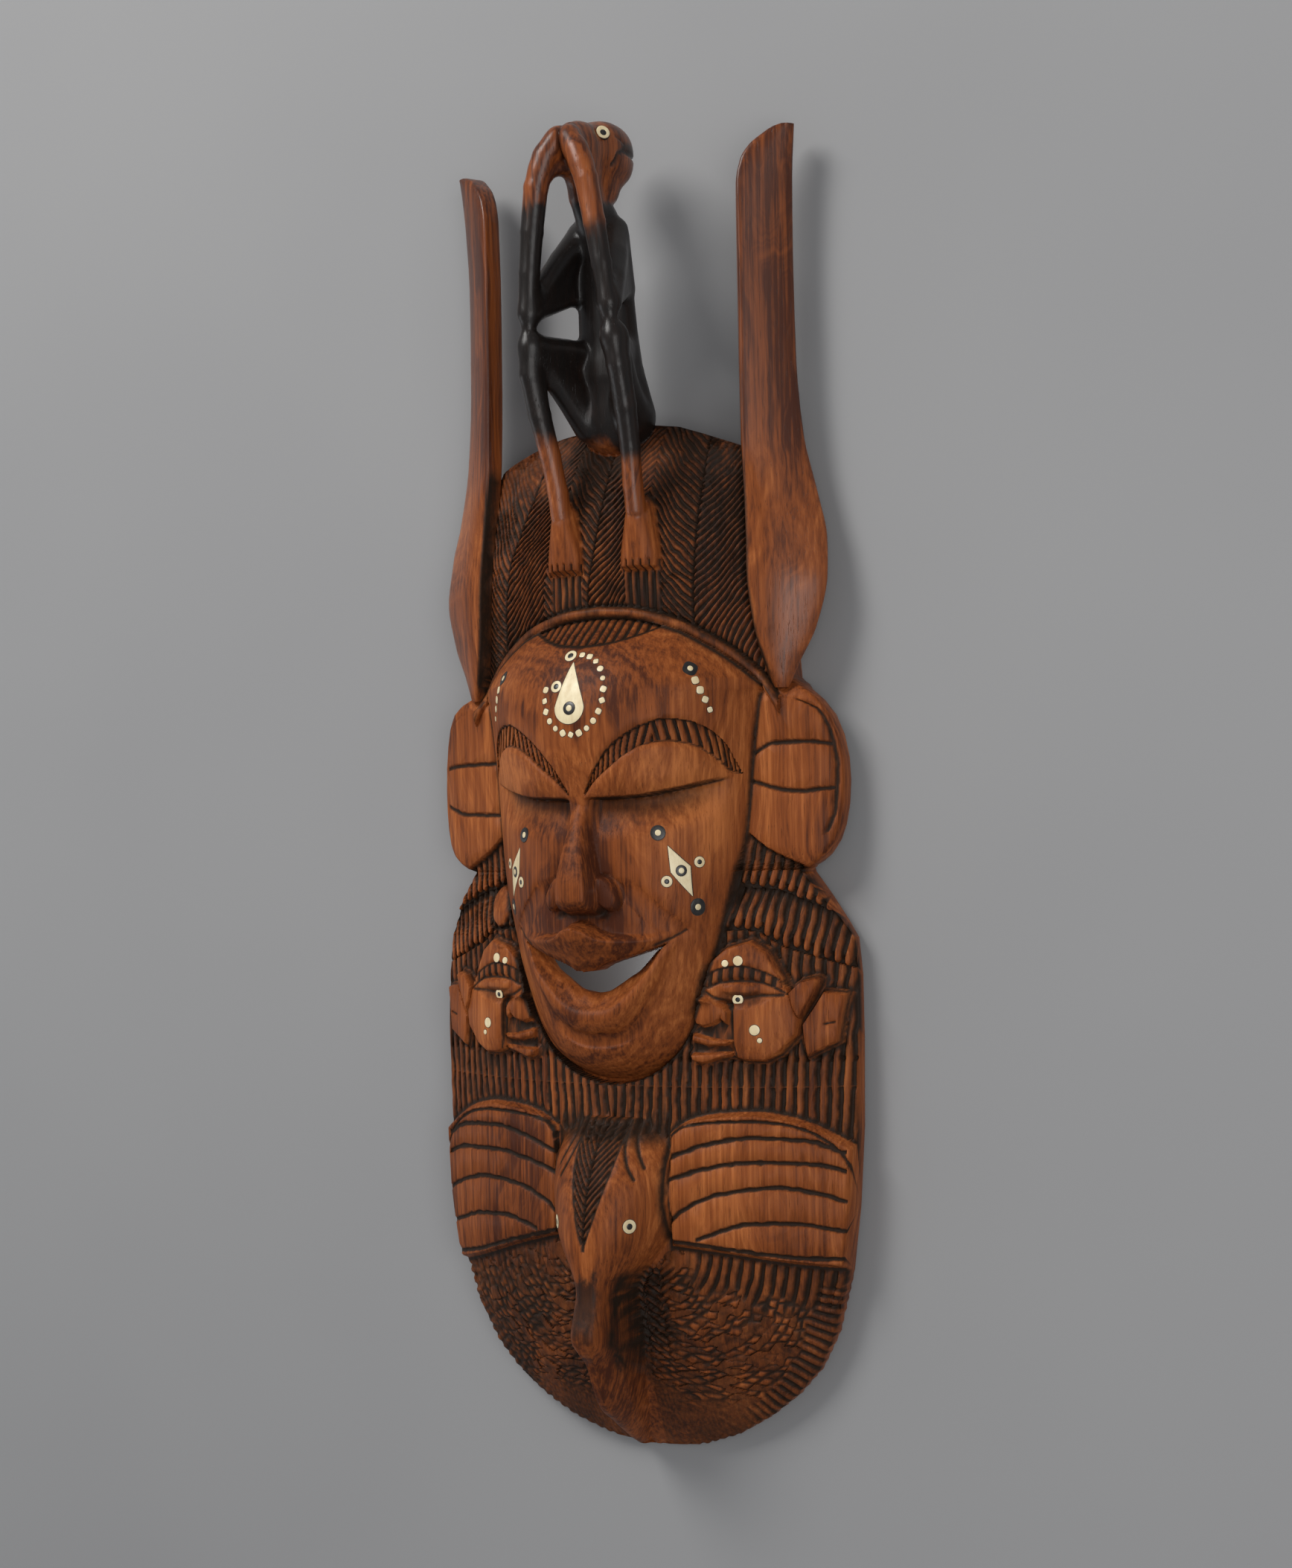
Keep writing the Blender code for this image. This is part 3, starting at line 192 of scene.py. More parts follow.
# outline of a small profile face, nose towards the big face: (x, y)
SMALL_FACE = [(84, -83), (70.5, -87), (61, -95), (57, -105), (54.5, -113), (53, -118), (51, -127.5), (53.5, -132),
              (50.5, -136), (49.5, -141.5), (51.5, -144), (48.8, -147.5), (50, -152.5), (58, -154), (68, -150.5),
              (74, -149.5), (80, -152), (91, -152.5), (99, -148), (108.5, -137), (109.8, -128), (104.5, -112),
              (99, -101), (93.5, -90)]
SMALL_NOSE = [(54.3, -113.5), (51.9, -122.9), (51.3, -127.8), (52.6, -130.6), (58.4, -132.3), (65.4, -130.5), (68.0, -128.2),
              (71.9, -131.2), (72.7, -123.9), (70.0, -119.5), (62.0, -116.5)]
SMALL_LIP = [(50.2, -135.1), (54.9, -136.3), (65.4, -138.8), (74.9, -139.6), (71.3, -142.3), (60.7, -142.6), (50.9, -140.3)]
SMALL_CHIN = [(49.2, -146.9), (60.7, -146.6), (74.9, -145.9), (71.9, -149.4), (60.7, -152.4), (54.9, -153.9), (50.4, -151.2)]
SMALL_EAR_IN = [(102.5, -113), (109, -106), (117, -104), (120, -106.5), (117, -115), (111.5, -125), (108.6, -130.5),
                (104.5, -122)]
SMALL_EAR_OUT = [(119.5, -112), (127, -113), (132.5, -114), (130.5, -123), (128, -141.5), (120.5, -145.5),
                 (111.5, -150.5), (109.6, -142), (108.6, -131), (114, -122)]


def polygon_distance(x, y, points):
    """Distance to a closed outline, positive inside."""
    px = np.array([p[0] for p in points], float)
    py = np.array([p[1] for p in points], float)
    best = np.full(np.shape(x), 1e9)
    inside = np.zeros(np.shape(x), bool)
    n = len(px)
    for i in range(n):
        ax, ay = px[i], py[i]
        bx, by = px[(i + 1) % n], py[(i + 1) % n]
        ex, ey = bx - ax, by - ay
        t = np.clip(((x - ax) * ex + (y - ay) * ey) / (ex * ex + ey * ey), 0.0, 1.0)
        d = (x - ax - t * ex) ** 2 + (y - ay - t * ey) ** 2
        best = np.minimum(best, d)
        cross = ((ay > y) != (by > y)) & (x < (bx - ax) * (y - ay) / (by - ay if by != ay else 1e-9) + ax)
        inside ^= cross
    best = np.sqrt(best)
    return np.where(inside, best, -best)


def full_outline():
    right = [(float(a), float(b)) for a, b in OUTLINE]
    left = [(-a, b) for a, b in right[::-1] if a > 0]
    return right + left


def bump(d, width):
    """Round ridge over a distance."""
    return np.sqrt(np.clip(1.0 - (d / width) ** 2, 0.0, 1.0))


def wing_distance(x, y):
    ax = np.abs(x)
    top = along(ax, WING_TOP)
    low = wing_low(x)
    return np.minimum(np.minimum(top - y, y - low) * 0.93, ax - WING_IN)


def wing_low(x):
    """Lower edge of the two wings."""
    ax = np.clip(np.abs(x), 30.0, 136.0)
    return along(ax, WING_LOW) + np.where(x < 0, along(ax, WING_SAG), 0.0)


def bird(x, y):
    """Head and long bill: the bill is a slab with a flat front that bends a little at its tip."""
    w = along(y, BIRD_HALF)
    a = np.abs(x - along(y, BIRD_BEND))
    t = a / w
    top = along(y, BIRD_CROWN)
    foot = along(y, BIRD_FOOT)
    z = foot + (top - foot) * (1.0 - np.clip(t, 0, 1.4) ** along(y, BIRD_POWER))
    # scooped flank with a raised lower edge
    low = smooth((-308.0 - y) / 10.0) * smooth((y + 378.0) / 16.0)
    z = z + low * (5.5 * bump(a - w - 0.5, 3.4) - 3.5 * bump(a - w * 0.62, 4.0) * smooth((y + 366.0) / 14.0))
    return np.where((t < 1.25 + 0.2 * low) & (y < -184.5), z, -50.0)


def face_relief(x, y):
    """Brows, lids, nose, lips and chin on the face's skin."""
    ax = np.abs(x)
    z = face_skin(x, y)
    # brow band, a step down between forehead and lid
    arc = along(ax, BROW_ARC)
    lid_t = along(ax, LID_TOP)
    lid_l = along(ax, LID_LOW)
    in_x = smooth((ax - 5.0) / 3.0) * smooth((80.0 - ax) / 3.0)
    band = smooth((arc - y) / 1.5) * smooth((y - lid_t) / 1.5)
    z = z - 1.6 * band * in_x
    # closed lid stands a little proud and overhangs the socket
    lid = smooth((lid_t - y) / 3.0) * smooth((y - lid_l + 0.5) / 1.0) * smooth((ax - 5) / 4.0) * smooth((77.0 - ax) / 4.0)
    z = z + 1.0 * lid
    s = lid_l - y
    socket = smooth(s / 1.6) * (1.0 - smooth((s - 1.0) / 25.0))
    fade = smooth((ax - 4.0) / 7.0) * smooth((79.0 - ax) / 22.0)
    z = z - 9.0 * socket * fade
    # nose: crisp ridge, flat flanks, small wings, cut off below
    half = along(y, NOSE_HALF)
    flat = along(y, NOSE_TOP)
    rise = np.maximum(along(y, NOSE_CREST) - face_skin(0.0 * x, y), 0.0)
    t = np.clip((ax - flat) / (half - flat), 0.0, 1.0)
    cut = smooth((y + 69.0) / 5.0)
    nose = rise * (1.0 - t) ** 1.2 - 1.2 * np.clip(ax / flat, 0.0, 1.0) ** 2
    wing = np.minimum(8.0 * bump(np.hypot(ax - 15.5, (y + 56.0) * 0.85 + 0.45 * (ax - 15.5)), 8.0), 5.6)
    z = np.where((y > -72) & (y < 4), z + np.maximum(nose, wing) * cut, z)
    # fold from nostril to mouth corner
    fold = np.abs((ax - 25.0) - 0.95 * (-52.0 - y)) / 1.4
    z = z - 1.4 * bump(fold, 6.0) * smooth((-46.0 - y) / 8.0) * smooth((y + 84.0) / 10.0)
    # upper lip: a beaked crest that slopes back down to the opening
    crest = along(ax, LIP_CREST)
    up = along(ax, HOLE_UP)
    amount = 18.0 * np.clip(1.0 - ax / 50.0, 0.0, 1.0) ** 1.25
    s = np.clip((crest - y) / np.maximum(crest - up, 1.0), 0.0, 1.0)
    above = 1.0 - smooth((y - crest) / 5.0)
    lip = np.where(y > crest, amount * above, amount * (1.0 - 0.86 * s ** 1.1))
    z = np.where((ax < 50) & (y < crest + 8) & (y > up - 0.01), z + lip, z)
    # mouth cavity and lower lip
    rim = along(ax, LIP_RIM)
    low = along(ax, HOLE_LOW)
    base = along(ax, LIP_BASE)
    inside = (ax < 50) & (y <= up) & (y > rim)
    depth = np.clip((y - rim) / np.maximum(low - rim, 0.8), 0.0, 1.3)
    z = np.where(inside, z - 9.0 * depth * smooth((50.0 - ax) / 8.0), z)
    s = (rim - y) / np.maximum(rim - base, 0.8)
    lower = np.where((s >= 0) & (s <= 1), np.sin(np.pi * np.clip(s, 0, 1) ** 0.8), 0.0)
    z = z + np.where(ax < 53, 4.2 * lower * smooth((53.0 - ax) / 18.0), 0.0)
    under = bump((y - (base - 2.5)) / 1.0, 5.0) * smooth((34.0 - ax) / 20.0)
    z = z - 2.6 * under
    return z


def small_faces(x, y):
    """Height added by the two profile faces and their ears."""
    ax = np.abs(x)
    near = (ax > 40) & (ax < 140) & (y > -165) & (y < -75)
    add = np.zeros(np.shape(x))
    if not np.any(near):
        return add
    a, b = ax[near], y[near]
    d = polygon_distance(a, b, SMALL_FACE)
    r = 6.0 * smooth(d / 2.4) + 1.5 * smooth((d - 2) / 9.0)
    # nose and lips keep their own planes, the cheek stands in front of them
    front = smooth((75.6 - a) / 1.6) * smooth((-116.5 - b) / 3.0)
    r = r - 4.6 * front * smooth(d / 1.6)
    r = r + 4.4 * smooth(polygon_distance(a, b, SMALL_NOSE) / 2.0 + 0.2)
    r = r + 3.6 * smooth(polygon_distance(a, b, SMALL_LIP) / 1.6 + 0.2)
    r = r + 3.6 * smooth(polygon_distance(a, b, SMALL_CHIN) / 2.0 + 0.2)
    # eye socket under a notched brow
    brow_y = -107.0 - 0.020 * (a - 78.0) ** 2
    socket = bump(np.hypot((a - 78.0) / 2.1, b + 113.0), 9.0)
    r = r - 2.2 * socket
    lid = bump(np.hypot((a - 79.0) / 2.6, b + 111.0), 3.8)
    r = r + 2.4 * lid
    e1 = polygon_distance(a, b, SMALL_EAR_IN)
    r = np.maximum(r, 8.0 * smooth(e1 / 2.0))
    e2 = polygon_distance(a, b, SMALL_EAR_OUT)
    r = np.maximum(r, 5.0 * smooth(e2 / 2.0))
    add[near] = r
    return add


def foot_half(y):
    """Half width of the figure's feet, flaring from the ankle to the toes."""
    return 6.3 + 5.6 * smooth((172.0 - y) / 48.0)


def front(x, y):
    """Front surface of the carved board, without the fine grooves."""
    x = np.asarray(x, float)
    y = np.asarray(y, float)
    ax = np.abs(x)
    z = log_level(x, y)
    z = z + small_faces(x, y)
    wd = wing_distance(x, y)
    z = z + 5.5 * smooth(wd / 2.5)
    z = smax(z, bird(x, y), 1.5)
    # knot of hair above the left small face, beside the cheek
    tuft = bump(np.hypot((x + 76.0) / 1.0, (y + 70.0) / 1.9), 10.5)
    z = z + 3.0 * tuft
    # headband
    by = band_y(x)
    d = (y - by) * np.cos(np.arctan(np.clip((ax - 10.0) / 62.0, 0.0, 1.6)))
    z = z + 3.4 * bump(d, 3.0) * (ax < 99.5)
    for side in (-1.0, 1.0):
        fx = x - side * 24.0 - figure_shift(y)
        fw = foot_half(y)
        fd = np.minimum(y - 123.5, 172.0 - y)
        roof = np.clip(1.0 - (np.abs(fx) / fw) ** 2.4, 0.0, 1.0)
        high = (6.5 + 5.5 * smooth((y - 126.0) / 34.0)) * smooth((173.0 - y) / 20.0)
        z = z + high * roof ** 0.6 * smooth(fd / 3.0 + 0.1)
    inside = in_face(x, y)
    face = face_relief(x, y)
    ok = (inside > 0) & (y < by - 2.2)
    z = np.where(ok, np.maximum(face, z - 8.0), z)
    # hair lens under the band
    lens_low = along(ax, [(0, 81), (15, 82.5), (30, 87), (42, 93), (47, 96)])
    lens = smooth((y - lens_low) / 1.5) * smooth((by - 2.6 - y) / 1.2) * (ax < 46)
    z = z - 2.2 * lens
    return z


def board(x, y):
    """Smooth front level that the hollow back follows."""
    z = log_level(x, y)
    face = face_skin(x, np.minimum(y, 100.0))
    w = smooth((in_face(x, y) - 2.0) / 10.0) * smooth((96.0 - y) / 12.0)
    z = z * (1 - w) + face * w
    hump = bird(x, y)
    z = np.maximum(z, np.minimum(hump - 6.0, 74.0))
    return z


WALL = 15.0
RIM = 12.0


def back(x, y, inner):
    """Back surface; inner is the distance inside the outline."""
    ax = np.abs(x)
    hollow = np.clip(board(x, y) - WALL, 0.0, 76.0)
    b = hollow * smooth((inner - RIM) / 16.0)
    edge = 6.0 * (1.0 - smooth(inner / 9.0))
    b = np.maximum(b, edge)
    # ears: thin leaves that stand off the head's side wall
    leaf = smooth((ax - 99.0) / 4.0) * smooth((y + 47.0) / 4.0) * smooth((60.0 - y) / 5.0)
    wall = smooth((99.0 - ax) / 4.0) * smooth((ax - 84.0) / 4.0) * smooth((y + 60.0) / 8.0)
    b = b * (1.0 - wall * (1.0 - leaf))
    b = np.maximum(b, leaf * np.clip(log_level(x, y) - 12.0, 0.0, 30.0))
    return b


# ---- horns: inner and outer front edges along y: (y, x, z) ---------------------
HORN_IN = [(56, 98, 35), (70, 94, 40), (90, 89.5, 45), (118, 86.8, 47.8), (140, 86, 46), (163, 84.5, 44), (198, 82.8, 42),
           (240, 82.3, 41), (300, 82.0, 40.5), (335, 82.0, 41), (347, 84.0, 39.8), (355, 88, 37), (361.5, 94.5, 32.5),
           (365, 99, 29.5), (366.5, 102.5, 27.5)]
HORN_OUT = [(56, 104, 30), (70, 110, 28), (90, 119.3, 24.8), (118, 125.4, 22.3), (140, 124, 18.6), (163, 118.5, 17.2),
            (198, 110.8, 18.8), (240, 107.5, 19.5), (300, 106.7, 19.6), (335, 107.6, 21), (347, 108.2, 21.6),
            (356, 108.9, 22), (362, 109.3, 22.3), (366.5, 109.6, 22.6)]
HORN_THICK = 11.0

# ---- the seated figure: chains of (x, y, z, radius) -----------------------------
ARM = [(3.5, 359.5, 88.5, 5.3), (9.5, 351, 91, 6.0), (15.5, 334, 91.5, 6.3), (19.5, 310, 90.5, 5.9), (22.5, 288, 89.5, 5.4),
       (25, 266, 88.5, 5.0), (26, 257, 88, 4.0)]
UPPER_ARM = [(8.5, 311, 54, 7.5), (16, 298, 64, 6.6), (21, 284, 75, 6.0), (25, 269, 86, 5.2)]
THIGH = [(9, 247, 48, 6.5), (16, 248, 62, 5.6), (23, 248.5, 78, 5.2), (26, 249, 85, 6.0)]
THIGH_LOW = [(13, 212, 44, 11.0), (17, 226, 58, 7.5), (22, 238, 72, 6.4), (26, 247, 84, 6.4)]
SHIN = [(26.5, 250, 86, 6.6), (27.5, 234, 84, 6.8), (27.2, 212, 78, 6.2), (25.5, 190, 71, 5.6), (24, 170, 67, 5.6),
        (24, 156, 64, 6.0)]
FACE = [(0, 357, 72, 10.5), (0, 345, 69, 9.5), (0, 333, 65, 9.0), (0, 320, 57, 9.0), (0, 308, 50, 12.0)]
TORSO = [(0, 331, 54, 6.8), (0, 321.5, 51.5, 12.2), (0, 310, 48, 15.8), (0, 286, 44.5, 16.4), (0, 258, 43, 17.5),
         (0, 236, 42, 19.5), (0, 214, 37, 23.0)]
TORSO_DEPTH = 0.80
# webs left between the limbs: three corners and a radius
SHEETS = [((4, 359, 88), (13, 343, 91), (1, 349, 74), 4.8),
          ((13, 316, 52), (25, 267, 86), (14, 284, 48), 5.2),
          ((26, 249, 85), (13, 250, 48), (14, 206, 50), 5.4)]
# head: centre, half sizes, squareness
HEAD = [((0, 359.2, 46), (16.6, 18.1, 20), 2.5), ((0, 343.5, 50), (11.2, 14.5, 15), 2.2), ((0, 357, 66), (11.5, 15.5, 23), 2.3)]


def figure_shift(y):
    """The whole figure leans: its feet stand a little to one side."""
    return 3.8 * (1.0 - smooth((np.asarray(y, float) - 140.0) / 180.0))


# ---- inlays: name, x, y, radius, tone (bone or black); mirrored unless single ----
MIRRORED_INLAYS = [
    ("temple_ring", 60.2, 67.0, 3.8, "black"),
    ("temple_dot_1", 63.4, 60.4, 2.1, "bone"), ("temple_dot_2", 65.6, 55.0, 2.1, "bone"),
    ("temple_dot_3", 67.6, 49.8, 1.8, "bone"), ("temple_dot_4", 69.3, 44.2, 1.5, "bone"),
    ("cheek_ring_upper", 43.0, -23.0, 4.0, "black"),
    ("cheek_ring_outer", 61.3, -39.6, 3.0, "bone"), ("cheek_ring_inner", 46.9, -50.0, 3.1, "bone"),
    ("cheek_ring_lower", 59.6, -64.6, 4.1, "black"),
    ("small_face_brow_dot_1", 78.6, -95.0, 2.7, "bone"), ("small_face_brow_dot_2", 71.6, -96.4, 1.9, "bone"),
    ("small_face_eye", 77.8, -116.6, 3.0, "bone"),
    ("small_face_cheek_dot_1", 87.0, -133.6, 2.9, "bone"), ("small_face_cheek_dot_2", 89.6, -139.4, 1.4, "bone"),
    ("bird_eye", 23.2, -242.0, 3.9, "bone"),
]
FOREHEAD_RINGS = [("forehead_ring_upper", -4.9, 76.2, 3.6), ("forehead_ring_side", -9.6, 59.0, 3.4)]
DOT_OVAL = (1.5, 54.2, 18.3, 22.2)
DOT_COUNT = 18
DOT_START, DOT_STEP = 87.0, -16.2
DOT_RADIUS = 1.75
TEARDROP = (0.0, 37.9, 9.2, 72.5)
LOZENGE = [(47.6, -30.2), (57.6, -41.8), (58.0, -58.6), (48.9, -45.0)]
LOZENGE_RING = (53.5, -44.2, 2.9)
TEAR_RING = (0.3, 46.6, 3.5)
FIGURE_EYE = ((11.6, 366.6, 64.0), (0.74, 0.30, 0.60), 3.8)


def dot_places():
    cx, cy, rx, ry = DOT_OVAL
    out = []
    for i in range(DOT_COUNT):
        a = np.radians(DOT_START + DOT_STEP * i)
        out.append((cx + rx * np.cos(a), cy + ry * np.sin(a)))
    return out


def tear_outline(steps=24, grow=0.0):
    """Teardrop with its point up and curled a little to one side."""
    cx, low, half, tip = TEARDROP
    pts = []
    cy = low + half
    for i in range(steps):
        a = -np.pi / 2 + 2 * np.pi * i / steps
        s = np.sin(a)
        x = (half + grow) * np.cos(a)
        y = (half + grow) * s
        if s > 0:
            k = s ** 2.2
            x = x * (1.0 - s) ** 0.42 * (1.0 + 0.25 * s)
            y = y + (tip - cy - half) * k
        pts.append((cx + x - 1.6 * max(s, 0.0) ** 3, cy + y))
    return pts


# ---- fine carving ------------------------------------------------------------
def wobble(x, y, size, seed):
    """Smooth value noise, -1..1, the same each run."""
    u, v = np.asarray(x, float) / size + 57.3 * seed, np.asarray(y, float) / size - 31.7 * seed
    iu, iv = np.floor(u), np.floor(v)
    fu, fv = smooth(u - iu), smooth(v - iv)

    def corner(a, b):
        h = np.sin(a * 127.1 + b * 311.7 + seed * 74.7) * 43758.5453
        return (h - np.floor(h)) * 2.0 - 1.0
    top = corner(iu, iv) * (1 - fu) + corner(iu + 1, iv) * fu
    low = corner(iu, iv + 1) * (1 - fu) + corner(iu + 1, iv + 1) * fu
    return top * (1 - fv) + low * fv


def groove(d, half):
    """Rounded V section, 1 at the bottom of the cut."""
    t = np.clip(1.0 - np.abs(d) / half, 0.0, 1.0)
    return t * (1.6 - 0.6 * t)


def rib(phase, crest=0.14, shoulder=0.30):
    """0 on the crest of each rib, 1 in the cut between two."""
    t = np.abs(phase - np.round(phase))
    return smooth((t - crest) / shoulder)


def step_noise(i, seed):
    h = np.sin(np.asarray(i, float) * 91.7 + seed * 12.9) * 24634.6345
    return (h - np.floor(h)) * 2.0 - 1.0


PART_LEFT = [(92, -70), (106, -69), (131, -65), (150, -56), (172, -47), (200, -40)]
PART_MID = [(98, -7), (110, -6.5), (135, -2), (162, 1.8), (200, 4)]
PART_RIGHT = [(60, 66), (96, 55.5), (130, 57), (178, 59), (205, 59)]
TIER_TOP = [(66, -12), (79, -22), (91, -32), (113, -44), (136, -60)]
TIER_1 = [(60, -52), (69, -54), (93, -56), (115, -65), (136, -75)]
TIER_2 = [(56, -76), (63, -78), (84, -79), (97, -87), (115, -94), (136, -101)]
WING_ARCS = [
    [(34, -207), (63, -197), (84, -194), (112, -196), (129, -203)],
    [(32, -220), (61, -211), (83, -208), (115, -209), (132, -214)],
    [(33, -248), (38, -241), (45, -235), (66, -226), (95, -222), (115, -225), (134, -232)],
    [(52, -252), (66, -246.5), (78, -243), (99, -242), (134, -248)],
    [(34, -253.2), (69, -257), (104, -261.5), (133, -263.5)]]
WING_BORDER = [(36, -198), (41, -190.5), (50, -187.2), (66, -185.5), (83, -185), (98, -186.3), (111, -190), (121, -196),
               (129, -204), (133, -213), (136, -224), (137, -236), (137.5, -252)]
EAR_UP = {1: [(80, 17.5), (96, 25.6), (112, 26), (129, 23.5)], -1: [(80, 20), (89, 18.8), (108, 18.6), (131, 17)]}
EAR_LOW = {1: [(80, 6), (94, .9), (109, -1.5), (129, .3)], -1: [(80, -11.6), (94, -11.4), (109, -10.9), (131, -4)]}
EAR_RIM = [(-30, 118), (-26, 121.5), (-18, 125.5), (-8, 127.2), (12, 128), (27, 126), (43, 120), (50, 107), (54, 98)]
CHIP_MID = (24.0, -262.0)


def path_distance(x, y, pts):
    """Distance to an open line of points."""
    best = np.full(np.shape(x), 1e9)
    for (ax, ay), (bx, by) in zip(pts[:-1], pts[1:]):
        ex, ey = bx - ax, by - ay
        t = np.clip(((x - ax) * ex + (y - ay) * ey) / (ex * ex + ey * ey), 0.0, 1.0)
        best = np.minimum(best, (x - ax - t * ex) ** 2 + (y - ay - t * ey) ** 2)
    return np.sqrt(best)


def smooth_path(pts, n=28):
    """Points along a smooth curve through the stations, which run on in x or in y."""
    a = np.array(pts, float)
    s = np.concatenate([[0], np.cumsum(np.hypot(np.diff(a[:, 0]), np.diff(a[:, 1])))])
    t = np.linspace(0, s[-1], n)
    xs = along(t, list(zip(s, a[:, 0])))
    ys = along(t, list(zip(s, a[:, 1])))
    return list(zip(xs, ys))


def horn_inner(y):
    return along(np.clip(y, 56.0, 366.0), [(s[0], s[1]) for s in HORN_IN])


def cuts(x, y):
    """Fine cuts: (drop in mm, stain and painted shade 0..1, rough 0..1), read on the front of the board."""
    ax = np.abs(x)
    side = np.sign(x)
    drop = np.zeros(np.shape(x))
    stain_and_shade = np.zeros(np.shape(x))
    rough = np.zeros(np.shape(x))
    j1 = wobble(x, y, 9.0, 1.0)
    j2 = wobble(x, y, 4.0, 2.0)
    j3 = wobble(x, y, 22.0, 3.0)
    by = band_y(x)
    face_in = in_face(x, y)

    def lay(mask, d, s, r=1.0):
        nonlocal drop, stain_and_shade, rough
        drop = drop + mask * d
        stain_and_shade = np.maximum(stain_and_shade, mask * s)
        rough = np.maximum(rough, mask * r)

    # headdress: three partings with strokes that rise away from them
    foot = np.zeros(np.shape(x))
    for sgn in (-1.0, 1.0):
        fx = x - sgn * 24.0 - figure_shift(y)
        foot = np.maximum(foot, smooth((np.minimum(foot_half(y) * smooth((168.0 - y) / 10.0) - np.abs(fx), y - 123.0) + 0.8) / 1.6) * (y < 168))
    head = smooth((y - by - 3.0) / 1.2) * smooth((horn_inner(y) - 0.6 - ax) / 1.2) * (1 - foot)
    parts = [along(np.clip(y, 60, 205), p) for p in (PART_LEFT, PART_MID, PART_RIGHT)]
    ds = np.stack([x - p for p in parts])
    pick = np.argmin(np.abs(ds), axis=0)
    d = np.take_along_axis(ds, pick[None], 0)[0]
    ad = np.abs(d)
    slope = 0.95 + 0.25 * smooth((ad - 8) / 14)
    phase = (y - slope * ad + 1.0 * j1 + 0.35 * j2) / 4.7 + 0.37 * pick + np.where(d > 0, 0.0, 0.45)
    r = rib(phase + 0.16 * wobble(x, y, 6.0, 12.0), 0.10, 0.30)
    # under the feet the strokes run straight down
    below = np.zeros(np.shape(x))
    for sgn in (-1.0, 1.0):
        fx = x - sgn * 24.0 - figure_shift(y)
        below = np.maximum(below, smooth((11.5 - np.abs(fx)) / 2.0) * smooth((124.5 - y) / 1.5))
    rv = rib((x + 0.6 * j1) / 4.6, 0.10, 0.32)
    r = r * (1 - below) + rv * below
    parting = groove(d, 1.1) * (1 - below)
    calm = 0.55 + 0.45 * smooth((188.0 - y) / 26.0)
    calm = calm * (1.0 - 0.45 * smooth((-20 - x) / 10) * smooth((y - 158) / 18))
    lay(head, (1.9 + 0.3 * j3) * r * calm + 0.9 * parting, np.maximum(0.50 + 0.18 * j3 + 0.14 * j2 + 0.50 * r * calm, 0.98 * parting))
    # hard cut along both sides of the band and beside the horns
    lay(smooth((y - by) / 0.5), 1.1 * groove(y - by - 4.2, 1.6) * (ax < 99), groove(y - by - 4.2, 2.4) * (ax < 99))
    lay(smooth((by - y) / 0.5), 0.9 * groove(by - y - 3.4, 1.3) * (ax < 90), 0.95 * groove(by - y - 3.4, 2.0) * (ax < 90))
    lay(smooth((y - 62) / 4), 1.5 * groove(horn_inner(y) - 1.5 - ax, 2.4), groove(horn_inner(y) - 1.5 - ax, 3.6))
    # the band itself is stained, rubbed through on its crest
    along_band = (ax < 99.5) * smooth((3.4 - np.abs(y - by)) / 0.8)
    lay(along_band, 0.0, np.clip(0.36 + 0.30 * np.abs(y - by) / 3.0 + 0.22 * j2, 0, 1), 0.4)
    # toes
    for sgn in (-1.0, 1.0):
        fx = x - sgn * 24.0 - figure_shift(y)
        toe = smooth((130.5 - y) / 2.0) * smooth((y - 122.5) / 1.0) * (np.abs(fx) < 11.5)
        t = np.abs((fx + 1.8) / 4.3 - np.round((fx + 1.8) / 4.3)) * 4.3
        lay(toe, 2.0 * groove(t, 0.9), 0.85 * groove(t, 1.0), 0.0)
    # hair lens: upright ribs
    lens_low = along(ax, [(0, 81), (15, 82.5), (30, 87), (42, 93), (47, 96)])
    lens = smooth((y - lens_low) / 1.0) * smooth((by - 3.0 - y) / 1.0) * (ax < 46)
    r = rib((x - 0.10 * (y - 90) + 0.5 * j1 + 0.9) / 5.1, 0.17, 0.24)
    lay(lens, 2.1 * r, 0.20 + 0.78 * r + 0.1 * j2)
    edge = groove(y - lens_low, 1.6) * (ax < 47) * smooth((by - 3 - y) / 1.0)
    lay(edge, 0.8, 0.95)
    # brow: teeth along the upper edge of the band over a dark line
    arc = along(ax, BROW_ARC)
    lid_t = along(ax, LID_TOP)
    wide = np.maximum(arc - lid_t, 1.0)
    t = (arc - y) / wide
    brow_in = (ax > 5) & (ax < 80) & (t > 0) & (t < 1)
    ang = np.degrees(np.arctan2(y - 2.0, ax - 44.0))
    run = along(ax, [(4, 0), (12, 17), (24, 35), (40, 54), (50, 64.5), (60, 75), (70, 87), (80, 112)])
    teeth = rib((run + 3.2 * (t - 0.4) * np.where(ax < 44, 1, -1)) / 4.75 + 0.10 * j1, 0.21, 0.17)
    on = smooth(t / 0.08) * smooth((0.93 - t) / 0.08)
    m = brow_in.astype(float)
    lay(m * on, 1.9 * teeth, 0.16 + 0.84 * teeth)
    lay(m * groove((t - 0.93) * wide, 1.0), 0.6, 0.75)
    lay(m * groove(t * wide - 0.3, 1.2), 1.0, 0.97)
